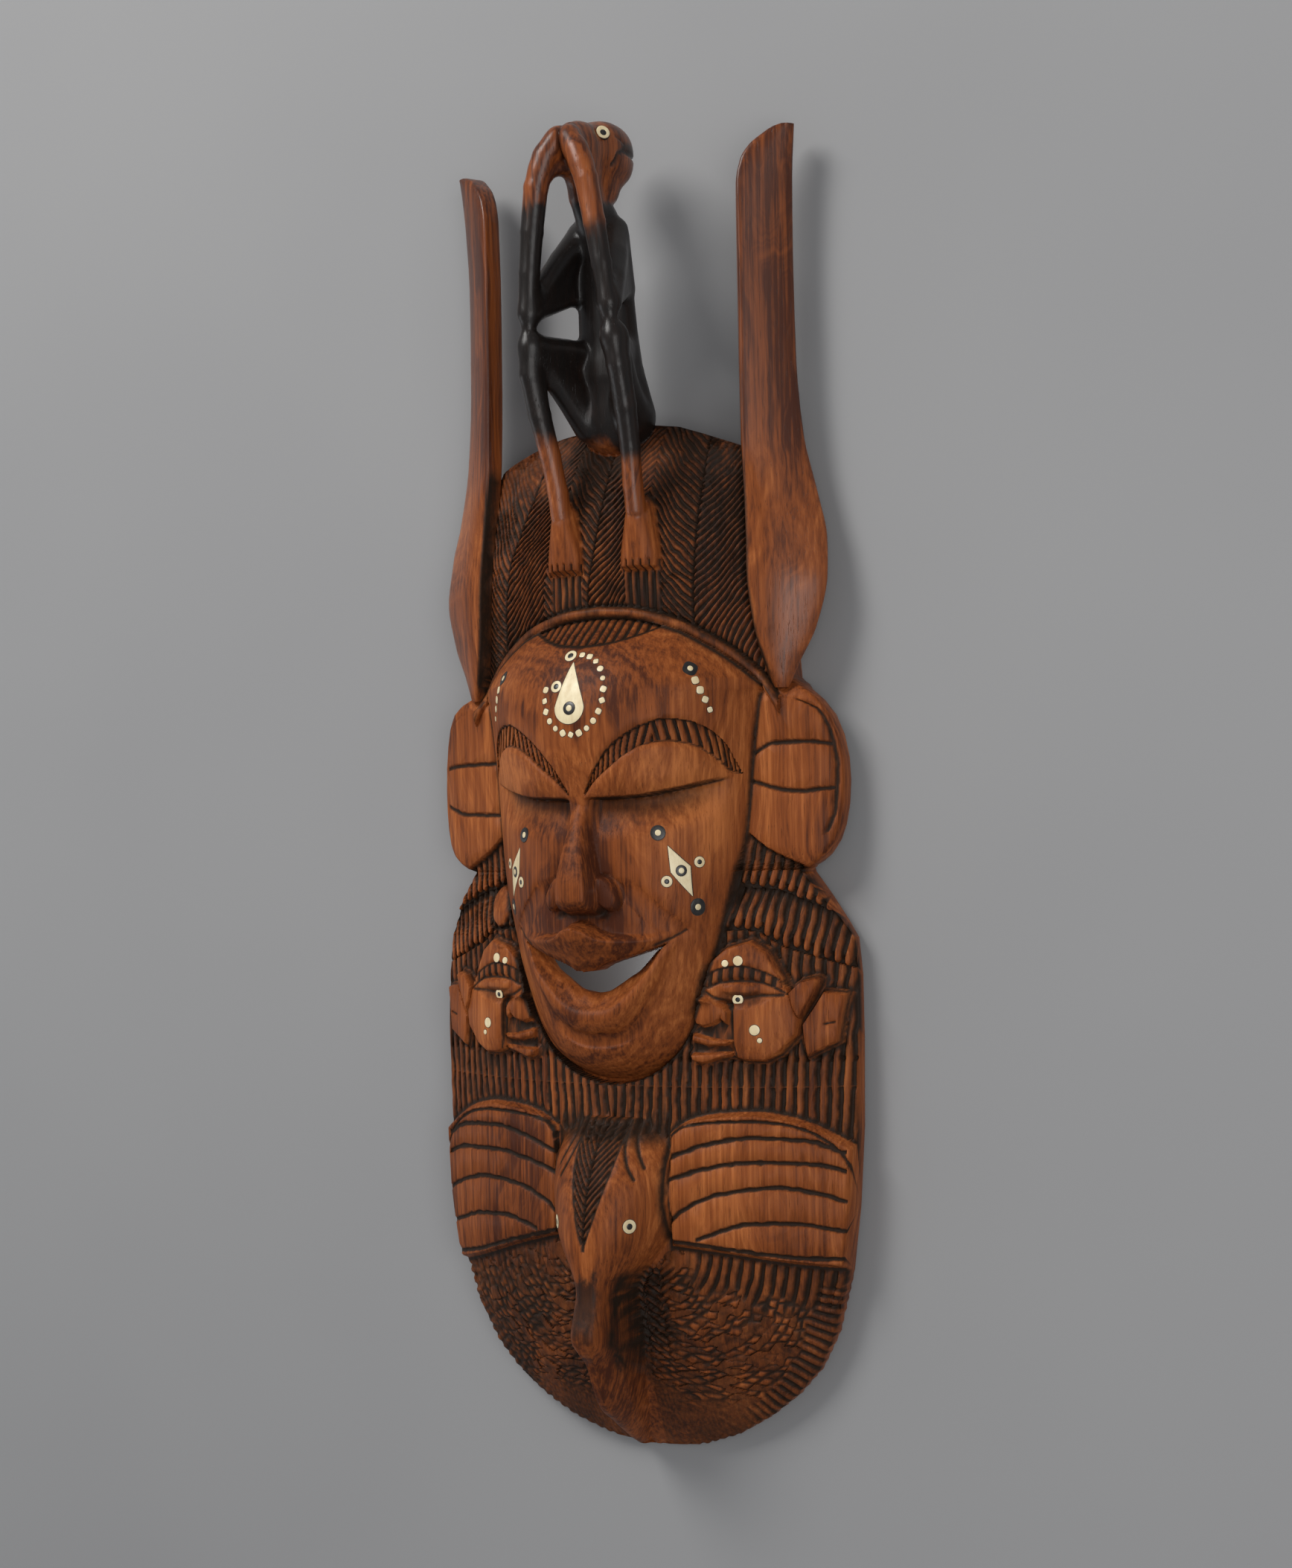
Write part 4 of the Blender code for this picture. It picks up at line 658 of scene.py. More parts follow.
    # the slit under each lid, the nostrils, the folds
    lid_l = along(ax, LID_LOW)
    slit = groove(lid_l - y - 0.9, 1.5) * smooth((ax - 5) / 6) * smooth((77 - ax) / 8)
    lay(slit, 1.4, 0.95, 0.3)
    # painted shade on the wood below each lid
    lay(smooth((lid_l - y) / 1.5) * smooth((y - lid_l + 25) / 25) * smooth((ax - 3) / 7) * smooth((79 - ax) / 30), 0.0, 0.62, 0.0)
    # painted shade under the nose
    painted_shade_under_nose = smooth((y + 71.5) / 1.5) * smooth((-66.3 - y) / 2.0) * smooth((23 - ax) / 3)
    lay(painted_shade_under_nose, 0.0, 0.55, 0.0)
    lay(groove(np.hypot(ax - 12.5, (y + 67.0) * 1.1), 4.6), 2.2, 0.9, 0.2)
    lay(groove(path_distance(ax, y, smooth_path([(13.0, -45.5), (18.0, -47.0), (23.0, -52.0), (24.5, -58.0), (21.0, -64.5)])), 1.8), 0.9, 0.40, 0.0)
    # mouth: stained lips' inner faces and corners
    hole_up = along(ax, HOLE_UP)
    hole_low = along(ax, HOLE_LOW)
    rim = along(ax, LIP_RIM)
    crest = along(ax, LIP_CREST)
    inside = (ax < 51) & (y < crest - 2.5) & (y > rim + 1.0)
    gap = np.minimum(np.abs(y - hole_up), np.abs(y - hole_low))
    lay(inside.astype(float), 0.0, 0.12 + 0.5 * smooth((ax - 34) / 12), 0.0)
    lay(smooth((ax - 36) / 5) * (ax < 54) * groove(y - along(ax, [(36, -86.5), (43, -83.5), (50, -79.5), (54, -76.5)]), 1.6), 0.9, 0.85, 0.0)
    # face edge: a stained cut all round
    cheek = (y > -167) & (y < 60) & ((y > -166) | (ax < 10))
    by_ear = smooth((y + 44.0) / 8.0)
    lay(cheek * groove(face_in + 0.6, 3.0 - 1.1 * by_ear) * smooth((58 - y) / 6), 0.8, 0.98 - 0.12 * by_ear)
    # ears
    ear = (ax > 80) & (ax < 134) & (y > -46) & (y < 60) & (face_in < -1)
    if np.any(ear):
        for sgn in (-1, 1):
            pick2 = ear & (side == sgn)
            xa, ya = ax[pick2], y[pick2]
            rimx = along(np.clip(ya, -30, 54), EAR_RIM)
            up = along(np.clip(xa, 80, 131), EAR_UP[sgn])
            low = along(np.clip(xa, 80, 131), EAR_LOW[sgn])
            inn = smooth((rimx - xa + 1.0) / 2.0)
            jj = 0.35 * wobble(xa * 3, ya * 3, 9.0, 6.0)
            g = np.maximum(groove(ya - up + jj, 1.9), groove(ya - low + jj, 1.9)) * inn
            g = np.maximum(g, groove(xa - rimx + jj, 1.8) * smooth((ya + 27) / 4) * smooth((52 - ya) / 4) * (0.9 if sgn == 1 else 0.25))
            d2 = np.zeros(np.shape(x))
            d2[pick2] = g
            lay(d2, 1.7, 1.0, 0.5)
    # hair behind the cheeks: tiers of ribs like roof tiles
    out = smooth((-0.6 - face_in) / 1.4)
    top = along(np.clip(ax, 66, 136), TIER_TOP)
    l1 = along(np.clip(ax, 60, 136), TIER_1)
    l2 = along(np.clip(ax, 56, 136), TIER_2)
    small = polygon_distance(ax, y, SMALL_FACE)
    small = np.maximum(small, polygon_distance(ax, y, SMALL_EAR_IN))
    small = np.maximum(small, polygon_distance(ax, y, SMALL_EAR_OUT))
    clear = smooth((-0.3 - small) / 1.2)
    # smooth knot of hair beside the left cheek
    knot = np.hypot((x + 79.5) / 9.0, (y + 65.0) / 12.5)
    clear = clear * (1.0 - smooth((1.02 - knot) / 0.16))
    lay(groove(knot - 1.06, 0.22) * out, 1.2, 0.95, 0.3)
    bound = smooth((top - y) / 2.0) * smooth((y + 153.0) / 2.0)
    zone0 = (y <= top) & (y > l1)
    zone1 = (y <= l1) & (y > l2)
    zone2 = (y <= l2)
    v0 = (top - y) / np.maximum(top - l1, 1)
    v1 = (l1 - y) / np.maximum(l1 - l2, 1)
    lean = np.where(zone2, 0.03, 0.16)
    ph = (ax - lean * y + 0.55 * j1 + np.where(zone1, 2.6, 0.0) + np.where(zone2, 1.2, 0.0)) / 5.3
    fall = (x + 0.54 * j1 - side * 0.05 * (y + 170)) / 5.7 + 0.25 + 0.06 * j2
    r = np.where(zone2, rib(fall, 0.17, 0.24), rib(ph + 0.05 * j2, 0.15, 0.24))
    v = np.where(zone0, v0, np.where(zone1, v1, 0.5))
    tip = 0.93 - 0.22 * (np.abs(ph - np.round(ph)) * 2) ** 2 + 0.05 * step_noise(np.round(ph), 4.0)
    endcut = np.where(zone2, 0.0, smooth((v - tip) / 0.06))
    tier = np.where(zone2, 0.0, 3.6 - 4.2 * smooth(v * 1.15))
    tier = tier * (1 - endcut) + 3.0 * endcut
    s = np.clip(0.44 + 0.56 * r + 0.16 * j2 + 0.10 * j3, 0, 1)
    s = np.maximum(s, 1.0 * endcut)
    # painted shade darkens the top of each tier, under the end of the tier above
    s = np.maximum(s, np.where(zone2, 0.0, 0.92 * (1 - smooth((v - 0.05) / 0.22))))
    worn = smooth((v - 0.30) / 0.45) * np.where(zone2, 0.25, 1.0)
    s = s - 0.34 * worn * (1 - r) * (1 - endcut)
    lay(bound * out * clear, 2.1 * r * (1 - endcut) + tier, s)
    # dark ground close round the small faces
    lay(bound * out * smooth((4.5 + small) / 3.5) * clear, 0.9, 0.92)
    # fringe under the chin and the small faces
    wt = along(np.clip(ax, 32, 136), WING_TOP)
    low_end = np.where(ax > 33, wt + 0.6, -194.0 - 4.0 * smooth((18 - ax) / 10))
    start = -149.0
    fr = smooth((start - y) / 2.0) * smooth((y - low_end) / 1.5) * out * clear
    r = rib(fall, 0.17, 0.24)
    lay(fr, 2.1 * r, np.clip(0.36 + 0.60 * r + (0.20 * j2 + 0.24 * j3) * (1 - r), 0, 1))
    # the neck comes out of the fringe's shade
    lay(smooth((37 - ax) / 4.0) * smooth((y + 206.0) / 14.0) * smooth((-184.0 - y) / 1.5), 0.0, 0.80, 0.2)
    # wings
    wd = wing_distance(x, y)
    wing_on = smooth(wd / 1.0)
    jj = 0.5 * wobble(x, y, 3.2, 5.0)
    g = np.zeros(np.shape(x))
    sag = np.where(x < 0, along(np.clip(ax, 30, 136), WING_SAG), 0.0)
    near = wd > -4
    xn, yn = ax[near], y[near]
    gn = np.zeros(xn.shape)
    jn = jj[near]
    for n, pts in enumerate(WING_ARCS):
        arc = along(np.clip(xn, pts[0][0], pts[-1][0]), pts)
        sl = along(np.clip(xn + 1, pts[0][0], pts[-1][0]), pts) - arc
        dist = (yn - arc - sag[near] * (0.0, 0.1, 0.45, 0.75, 1.0)[n]) / np.sqrt(1 + sl * sl)
        ok = (xn > pts[0][0] - 0.5) & (xn < (131 if n < 4 else 140))
        gn = np.maximum(gn, groove(dist + jn, 1.85) * ok)
    border = path_distance(xn, yn, smooth_path(WING_BORDER))
    gn = np.maximum(gn, groove(border + 0.6 * jn, 1.35) * 0.9)
    inner = path_distance(xn, yn, smooth_path([(38, -196), (36.6, -210), (36.2, -228), (36.6, -246), (38, -254)]))
    gn = np.maximum(gn, groove(inner + 0.5 * jn, 1.2))
    g[near] = gn
    lay(np.clip(1.25 * g, 0, 1) * wing_on, 1.5, 1.0, 0.6)
    # stained step round each wing
    lay(smooth((wd + 4.5) / 3.5) * smooth((-wd + 0.6) / 1.2) * (y > -300) * (ax > 30), 0.5, 0.92)
    # plate below the wings
    bl = np.where(ax > 30, wing_low(x), -258.0)
    bw = along(y, BIRD_HALF)
    plate = smooth((bl - 1.5 - y) / 1.5) * smooth((ax - bw * 1.02 - 0.5) / 2.0) * (y < -250)
    cx, cy = ax - CHIP_MID[0], y - CHIP_MID[1]
    rad = np.hypot(cx, cy)
    th = np.degrees(np.arctan2(-cy, cx))
    first = bl - 2 - y
    # long strokes right under the wing
    right = smooth((x + 4.0) / 8.0)
    longs = smooth((24.0 - first + 5 * j1) / 5.0) * smooth((ax - 40) / 14) * (0.25 + 0.75 * right)
    rl = rib((rad + 0.8 * j1) / 5.9, 0.17, 0.25)
    # irregular chips in rough rings, many of them worn away
    row = (rad + 2.2 * j1 + 1.6 * j3 + 0.7 * j2) / 4.6
    irow = np.round(row)
    cell = (th * np.maximum(rad, 14.0) * np.pi / 180.0 + 1.8 * j2) / 6.6 + 0.5 * (irow % 2) + 0.45 * step_noise(irow, 3.0)
    icell = np.round(cell)
    rc = np.maximum(rib(row, 0.10, 0.34), rib(cell, 0.14, 0.32))
    pick_r = step_noise(irow * 17.0 + icell, 8.0)
    live = smooth((pick_r + 0.75 + 0.4 * j3) / 0.5)
    bright = smooth((pick_r + 0.55 + 0.5 * j3) / 0.9) * (0.40 + 0.60 * right)
    # radial notches along the rim
    edge_d = plate_edge(x, y)
    rim_cut = rib(rim_run(ax, y) / 5.6 + 0.12 * j1, 0.16, 0.26)
    rimz = smooth((13.0 + 4.0 * j1 - edge_d) / 4.0) * smooth((-276 - y) / 8) * (0.30 + 0.70 * right)
    bottom = smooth((36 - ax) / 14.0) * smooth((-330 - y) / 22.0)
    low_mid = smooth((-346.0 - y + 0.10 * ax) / 16.0) * smooth((84 - ax) / 30)
    soft = 1.0 - 0.85 * np.maximum(low_mid, bottom)
    chip = live * rc * (1 - longs) * (1 - rimz)
    fine_grain = rib((x + 0.7 * j1) / 2.7 + 0.3 * wobble(x, y, 30.0, 13.0), 0.2, 0.3)
    s = 0.55 + 0.12 * j2 + 0.14 * j3 + 0.30 * chip
    s = s - 0.40 * bright * (1 - rc) * (1 - longs) * (1 - rimz)
    s = s * (1 - longs) + (0.40 + 0.55 * rl + 0.16 * j2) * longs
    s = s * (1 - rimz) + (0.42 + 0.50 * rim_cut + 0.12 * j2) * rimz
    depth = 1.15 * chip + 2.0 * rl * longs + 1.7 * rim_cut * rimz
    s = s * soft + (0.50 + 0.20 * fine_grain * wobble(x, y, 12.0, 14.0) + 0.14 * j3) * (1 - soft)
    lay(plate, depth * soft + 0.25 * fine_grain * (1 - soft), np.clip(s, 0, 1))
    # bird: herringbone crest, neck grooves, dark front of the bill
    crest_w = along(np.clip(y, -254, -186), [(-254, 0.3), (-240, 4.8), (-224, 9.0), (-210, 12.0), (-197, 13.2), (-186, 12.4)])
    cr = smooth((crest_w - ax) / 1.0) * smooth((-186.5 - y) / 2.0) * (y > -254)
    r = rib((y - 1.35 * ax + 0.5 * j1) / 4.6, 0.10, 0.33)
    mid = groove(x, 1.1)
    lay(cr, 1.5 * r + 0.9 * mid + 0.4, np.clip(0.52 + 0.45 * r + 0.4 * mid, 0, 1))
    lay(groove(ax - crest_w, 1.3) * (y > -256) * (y < -188), 0.9, 0.95)
    for pts in ([(14.0, -186), (15.0, -197), (18.5, -208), (23.5, -217)], [(18.5, -186), (20.0, -195), (23.0, -203), (27.0, -211)]):
        dist = path_distance(ax, y, smooth_path(pts))
        lay(groove(dist, 1.5), 1.6, 0.95, 0.3)
    # herringbone shadow cuts on the flank of the bill
    wall = smooth((ax - bw * 0.86) / 1.2)
    flank = wall * smooth((bw + 26 - ax) / 14) * smooth((-264 - y) / 10) * smooth((y + 334) / 24)
    turn = smooth((ax - 26.0) / 2.0)
    run_in = 0.75 * ax * (1 - turn) - 0.75 * (ax - 52.0) * turn + 0.42 * np.clip(84.0 - front(x, y), 0.0, 50.0) * smooth((bw + 4.0 - ax) / 2.0)
    r = rib((y + run_in + 0.5 * j1) / 4.9, 0.14, 0.28)
    lay(flank, 1.4 * r, 0.58 + 0.40 * r)
    # the bill's shaded flank below
    scoop = wall * smooth((bw + 6.0 - ax) / 3.0) * smooth((-316 - y) / 8) * smooth((y + 352) / 12)
    lay(scoop, 0.0, 0.58 + 0.2 * j2, 0.2)
    # small faces: brow teeth, lid and lip lines
    nf = (ax > 46) & (ax < 135) & (y > -158) & (y < -78)
    if np.any(nf):
        a, b, jj = ax[nf], y[nf], j2[nf]
        onf = smooth(small[nf] / 0.8)
        outer = along(np.clip(a, 57, 102), [(57, -108), (61, -103.5), (67, -100), (79, -98), (90, -101), (98, -105.5), (102, -109)])
        innr = along(np.clip(a, 57, 102), [(57, -109), (61, -109.5), (67.5, -107), (79, -106), (90, -107), (96, -110), (102, -111)])
        wide2 = np.maximum(outer - innr, 0.8)
        tb = (outer - b) / wide2
        inb = (a > 58) & (a < 101) & (tb > 0) & (tb < 1)
        tt = rib((a - 0.10 * (b + 103) + 1.2) / 5.6, 0.17, 0.20)
        dd = np.zeros(a.shape)
        ss = np.zeros(a.shape)
        dd = np.where(inb, 1.3 * tt + 0.2, dd)
        ss = np.where(inb, 0.30 + 0.65 * tt, ss)
        for pts, w in (([(57, -108), (61, -103.5), (67, -100), (79, -98), (90, -101), (98, -105.5), (103, -110)], 1.1),
                       ([(57, -109), (61, -110), (67.5, -107.3), (79, -106.3), (90, -107.3), (97, -110.3), (103, -114)], 1.2),
                       ([(60, -112.5), (66, -116), (73, -117.5)], 1.4), ([(82, -115.5), (92, -114.5), (101, -114.5)], 1.5),
                       ([(75.0, -120.5), (75.1, -130), (75.2, -140), (76.5, -148)], 1.2),
                       ([(67.9, -128.6), (68.6, -125.6)], 1.0),
                       ([(121, -131), (126, -130)], 1.0)):
            g = groove(path_distance(a, b, smooth_path(pts)), w)
            dd = np.maximum(dd, 1.2 * g)
            ss = np.maximum(ss, 0.9 * g)
        shapes = np.maximum(polygon_distance(a, b, SMALL_NOSE), np.maximum(polygon_distance(a, b, SMALL_LIP), polygon_distance(a, b, SMALL_CHIN)))
        shade = smooth((75.2 - a) / 1.0) * smooth((-117.0 - b) / 2.5) * smooth((0.2 - shapes) / 1.0)
        ss = np.maximum(ss * np.where(shapes > 0.6, 0.35, 1.0), 0.93 * shade)
        eye_shade = bump(np.hypot((a - 79.0) / 2.5, (b + 115.5) / 1.0), 6.0)
        ss = np.maximum(ss, 0.6 * eye_shade * (b < -112))
        rim2 = groove(small[nf] - 0.1, 1.4)
        ss = np.maximum(ss * onf, 0.8 * rim2)
        d3 = np.zeros(np.shape(x))
        s3 = np.zeros(np.shape(x))
        d3[nf] = dd * onf
        s3[nf] = ss
        drop = drop + d3
        stain_and_shade = np.maximum(stain_and_shade, s3)
    # painted shade on the headdress ground behind the figure's seat, between its shins
    painted_seat_shade = smooth((25 - ax) / 6.0) * smooth((y - 172) / 10.0)
    stain_and_shade = np.maximum(stain_and_shade, 0.75 * painted_seat_shade * head)
    return drop, np.clip(stain_and_shade, 0, 1), np.clip(rough, 0, 1)


def plate_edge(x, y):
    """Distance to the outline of the lower plate, in mm, positive inside."""
    pts = [(b, a) for a, b in OUTLINE if b <= -105]
    n = len(pts)
    ax = np.abs(x)
    line = [(p[1], p[0]) for p in pts]
    line = [(-30, -382.5)] + line
    near = (y < -240)
    d = np.full(np.shape(x), 60.0)
    if np.any(near):
        d[near] = path_distance(ax[near], y[near], line)
    return d


def rim_run(ax, y):
    """Arc length along the rim, for notches at an even pitch."""
    a = np.degrees(np.arctan2(-(y + 252.0), np.maximum(ax, 0.0)))
    return a * 2.28


def scallop(x, y):
    """Inward pull of the plate's edge, in mm."""
    ax = np.abs(x)
    t = rim_run(ax, y) / 6.4
    bite = rib(t + 0.12 * wobble(x, y, 9.0, 1.0), 0.10, 0.38)
    return (0.9 + 0.5 * wobble(x, y, 19.0, 11.0)) * bite * smooth((-268 - y) / 10)


# ---- meshes ----------------------------------------------------------------------
def mesh_object(name, verts, faces, origin=True):
    """Object from arrays of corners and faces (triangles or quads), in carver's mm."""
    me = bpy.data.meshes.new(name)
    faces = np.asarray(faces, np.int32)
    n, k = faces.shape
    me.vertices.add(len(verts))
    me.vertices.foreach_set("co", np.asarray(verts, np.float32).ravel())
    me.loops.add(n * k)
    me.loops.foreach_set("vertex_index", faces.ravel())
    me.polygons.add(n)
    me.polygons.foreach_set("loop_start", np.arange(0, n * k, k, dtype=np.int32))
    me.update(calc_edges=True)
    me.validate()
    ob = bpy.data.objects.new(name, me)
    bpy.context.scene.collection.objects.link(ob)
    return ob


def coords(me):
    co = np.zeros(len(me.vertices) * 3, np.float32)
    me.vertices.foreach_get("co", co)
    return co.reshape(-1, 3).astype(float)


def apply_modifiers(ob):
    bpy.context.view_layer.update()
    me = bpy.data.meshes.new_from_object(ob.evaluated_get(bpy.context.evaluated_depsgraph_get()))
    ob.modifiers.clear()
    old = ob.data
    ob.data = me
    bpy.data.meshes.remove(old)


def boolean(ob, other, operation):
    mod = ob.modifiers.new("b", "BOOLEAN")
    mod.operation = operation
    mod.solver = "MANIFOLD"
    mod.object = other
    apply_modifiers(ob)
    bpy.data.objects.remove(other, do_unlink=True)


def thin(ob, triangles):
    me = ob.data
    me.calc_loop_triangles()
    have = len(me.loop_triangles)
    if have <= triangles:
        return
    mod = ob.modifiers.new("d", "DECIMATE")
    mod.ratio = triangles / have
    mod.use_collapse_triangulate = True
    apply_modifiers(ob)


def half_width(y):
    pts = sorted((b, a) for a, b in OUTLINE)
    return np.interp(y, [p[0] for p in pts], [p[1] for p in pts])


def place_grid(u, v):
    """Unit square to the board's outline."""
    low, high = OUTLINE[0][1] + 0.4, OUTLINE[-1][1] - 0.3
    y = low + (high - low) * (0.5 + 0.5 * (0.82 * v + 0.18 * np.sin(v * np.pi / 2.0)))
    x = u * half_width(y)
    return x, y


def edge_pull(x, y):
    """Scalloped edge of the plate: points near the rim move a little inwards."""
    bite = scallop(x, y) * smooth(1.0 - plate_edge(x, y) / 7.0)
    cx, cy = 0.0 * x, np.full(np.shape(x), -250.0)
    dx, dy = cx - x, cy - y
    length = np.maximum(np.hypot(dx, dy), 1e-6)
    return x + dx / length * bite, y + dy / length * bite


def gouge(x, y):
    """Long shallow marks of the gouge in the hollow."""
    i = np.round(x / 15.0 + 0.3 * wobble(x, y, 40.0, 21.0))
    t = x / 15.0 + 0.3 * wobble(x, y, 40.0, 21.0) - i
    s = y / 38.0 + 0.5 * step_noise(i, 5.0)
    k = s - np.round(s)
    return 1.1 * (t * t * 4.0) + 0.7 * (k * k * 4.0) - 0.6


def build_board(fine_cols, fine_rows, ratio=3):
    """Closed board: fine relief in front, hollow behind, one wall between."""
    nc, nr = fine_cols, fine_rows
    u = np.linspace(-1, 1, nc + 1)
    v = np.linspace(-1, 1, nr + 1)
    uu, vv = np.meshgrid(u, v)
    x, y = place_grid(uu.ravel(), vv.ravel())
    z = front(x, y)
    drop, _, _ = cuts(x, y)
    inner = np.maximum(polygon_distance(x, y, full_outline()), 0.0)
    drop = drop * smooth(inner / 0.8 + 0.45)
    ease = np.clip(1.0 - inner / 2.2, 0, 1)
    z = z - drop - 1.6 * (1 - np.sqrt(np.clip(1 - ease ** 2, 0, 1)))
    hole_up = along(np.abs(x), HOLE_UP)
    px, py = edge_pull(x, y)
    fv = np.column_stack([px, py, z])
    bc, br = nc // ratio, nr // ratio
    ub = np.linspace(-1, 1, bc + 1)
    vb = np.linspace(-1, 1, br + 1)
    uub, vvb = np.meshgrid(ub, vb)
    xb, yb = place_grid(uub.ravel(), vvb.ravel())
    innerb = np.maximum(polygon_distance(xb, yb, full_outline()), 0.0)
    zb = back(xb, yb, innerb)
    carve_in = smooth((zb - 12.0) / 10.0) * smooth((innerb - 22) / 8.0)
    zb = zb - gouge(xb, yb) * carve_in
    zb = zb - 4.0 * (1.0 - smooth(zb / 3.0))
    zb = np.minimum(zb, front(xb, yb) - 5.0)
    qx, qy = edge_pull(xb, yb)
    bv = np.column_stack([qx, qy, zb])
    verts = np.vstack([fv, bv])

    def grid_faces(cols, rows, start, flip):
        i = np.arange(cols)[None, :] + np.arange(rows)[:, None] * (cols + 1) + start
        a, b, c, d = i, i + 1, i + cols + 2, i + cols + 1
        quads = np.stack([a, b, c, d], -1).reshape(-1, 4)
        return quads[:, ::-1] if flip else quads
    ff = grid_faces(nc, nr, 0, False)
    off = len(fv)
    bf = grid_faces(bc, br, off, True)
    tri = [np.column_stack([ff[:, 0], ff[:, 1], ff[:, 2]]), np.column_stack([ff[:, 0], ff[:, 2], ff[:, 3]]),
           np.column_stack([bf[:, 0], bf[:, 1], bf[:, 2]]), np.column_stack([bf[:, 0], bf[:, 2], bf[:, 3]])]
    loop_f = np.concatenate([np.arange(0, nc), np.arange(nr) * (nc + 1) + nc, (nr * (nc + 1) + nc) - np.arange(nc),
                             (nr - np.arange(nr)) * (nc + 1)])
    loop_b = off + np.concatenate([np.arange(0, bc), np.arange(br) * (bc + 1) + bc, (br * (bc + 1) + bc) - np.arange(bc),
                                   (br - np.arange(br)) * (bc + 1)])
    nf, nb = len(loop_f), len(loop_b)
    wall = []
    for j in range(nb):
        b0, b1 = loop_b[j], loop_b[(j + 1) % nb]
        f = [loop_f[(j * ratio + k) % nf] for k in range(ratio + 1)]
        half = (ratio + 1) // 2
        for k in range(ratio):
            if k < half:
                wall.append((f[k + 1], f[k], b0))
            else:
                wall.append((f[k + 1], f[k], b1))
        wall.append((f[half], b0, b1))
    tri.append(np.array(wall))
    return mesh_object("board", verts, np.vstack(tri))


def build_horn(side):
    """Blade horn: rounded slab section lofted along its length."""
    ys = np.concatenate([np.linspace(56.2, 340, 240), np.linspace(341, 366.4, 60)])
    xi = along(ys, [(s[0], s[1]) for s in HORN_IN])
    zi = along(ys, [(s[0], s[2]) for s in HORN_IN])
    xo = along(ys, [(s[0], s[1]) for s in HORN_OUT])
    zo = along(ys, [(s[0], s[2]) for s in HORN_OUT])
    w = np.hypot(xo - xi, zo - zi)
    ex, ez = (xo - xi) / w, (zo - zi) / w
    nx, nz = -ez, ex
    thick = np.minimum(HORN_THICK, 3.0 + 0.9 * w)
    # section as a closed path of (across 0..1, below 0..1) with small rounds
    front_t = np.linspace(0.0, 1.0, 25)
    rings = []
    m = 64
    s = np.linspace(0, 2 * np.pi, m, endpoint=False)
    power = 9.0
    cu = np.sign(np.cos(s)) * np.abs(np.cos(s)) ** (2 / power)
    cv = np.sign(np.sin(s)) * np.abs(np.sin(s)) ** (2 / power)
    verts = np.zeros((len(ys), m, 3))
    for j in range(m):
        across = 0.5 + 0.5 * cu[j]
        depth = 0.5 - 0.5 * cv[j]
        crown = 1.5 * np.sin(np.pi * across) * (1 - depth)
        shrink = 0.06 * depth * (across - 0.5) * 2
        a = across - shrink
        px = xi + (xo - xi) * a + nx * (crown - thick * depth)
        pz = zi + (zo - zi) * a + nz * (crown - thick * depth)
        verts[:, j, 0] = side * px
        verts[:, j, 1] = ys
        verts[:, j, 2] = pz
    v = verts.reshape(-1, 3)
    i = np.arange(len(ys) - 1)[:, None] * m
    j = np.arange(m)[None, :]
    a, b = i + j, i + (j + 1) % m
    c, d = b + m, a + m
    q = np.stack([a, b, c, d], -1).reshape(-1, 4)
    tri = np.vstack([q[:, [0, 1, 2]], q[:, [0, 2, 3]]])
    n = len(v)
    v = np.vstack([v, verts[0].mean(0), verts[-1].mean(0)])
    j = np.arange(m)
    cap0 = np.column_stack([np.full(m, n), (j + 1) % m, j])
    last = (len(ys) - 1) * m
    cap1 = np.column_stack([np.full(m, n + 1), last + j, last + (j + 1) % m])
    tri = np.vstack([tri, cap0, cap1])
    ob = mesh_object("horn", v, tri)
    bm = bmesh.new()
    bm.from_mesh(ob.data)
    bmesh.ops.recalc_face_normals(bm, faces=bm.faces[:])
    bm.to_mesh(ob.data)
    bm.free()
    return ob


# ---- the seated figure as a smooth union of tapered limbs ----------------------------
def limb(p, q, X, Y, Z, depth=1.0):
    a, b = np.array(p[:3], float), np.array(q[:3], float)
    ra, rb = p[3], q[3]
    ax, ay, az = a[0], a[1], a[2]
    bx, by, bz = b[0] - a[0], b[1] - a[1], (b[2] - a[2])
    mid = (a[2] + b[2]) / 2
    zz = Z if depth == 1.0 else mid + (Z - mid) / depth
    dx, dy, dz = X - ax, Y - ay, zz - az
    t = np.clip((dx * bx + dy * by + dz * bz) / (bx * bx + by * by + bz * bz), 0, 1)
    d = np.sqrt((dx - t * bx) ** 2 + (dy - t * by) ** 2 + (dz - t * bz) ** 2)
    return (d - (ra + (rb - ra) * t)) * (depth if depth < 1 else 1.0)


def ellipsoid(c, r, X, Y, Z, square=2.0):
    k0 = (np.abs((X - c[0]) / r[0]) ** square + np.abs((Y - c[1]) / r[1]) ** square + np.abs((Z - c[2]) / r[2]) ** square) ** (1.0 / square)
    return (k0 - 1.0) * min(r)


def blend_min(a, b, k):
    h = np.clip(0.5 + 0.5 * (b - a) / k, 0.0, 1.0)
    return b + (a - b) * h - k * h * (1.0 - h)


def line_distance(u, v, line):
    best = np.full(np.broadcast(u, v).shape, 1e9)
    for (au, av), (bu, bv) in zip(line[:-1], line[1:]):
        eu, ev = bu - au, bv - av
        t = np.clip(((u - au) * eu + (v - av) * ev) / (eu * eu + ev * ev), 0, 1)
        best = np.minimum(best, (u - au - t * eu) ** 2 + (v - av - t * ev) ** 2)
    return np.sqrt(best)


def head_cuts(x, y, z):
    """Mouth slit of the figure, and the line where its hands meet."""
    ax = np.abs(x)
    mouth = groove(line_distance(y, z, [(350.3, 57.0), (353.0, 55.5), (357.0, 54.0), (359.2, 49.5), (358.6, 39.0), (358.0, 26.0)]), 1.9) * (ax > 4)
    mouth = mouth + 0.5 * groove(line_distance(y, z, [(366.0, 55.0), (363.5, 49.0)]), 1.2) * (ax > 4)
    hands = groove(ax, 1.1) * (z > 76) * smooth((y - 344) / 5)
    return mouth + 0.7 * hands


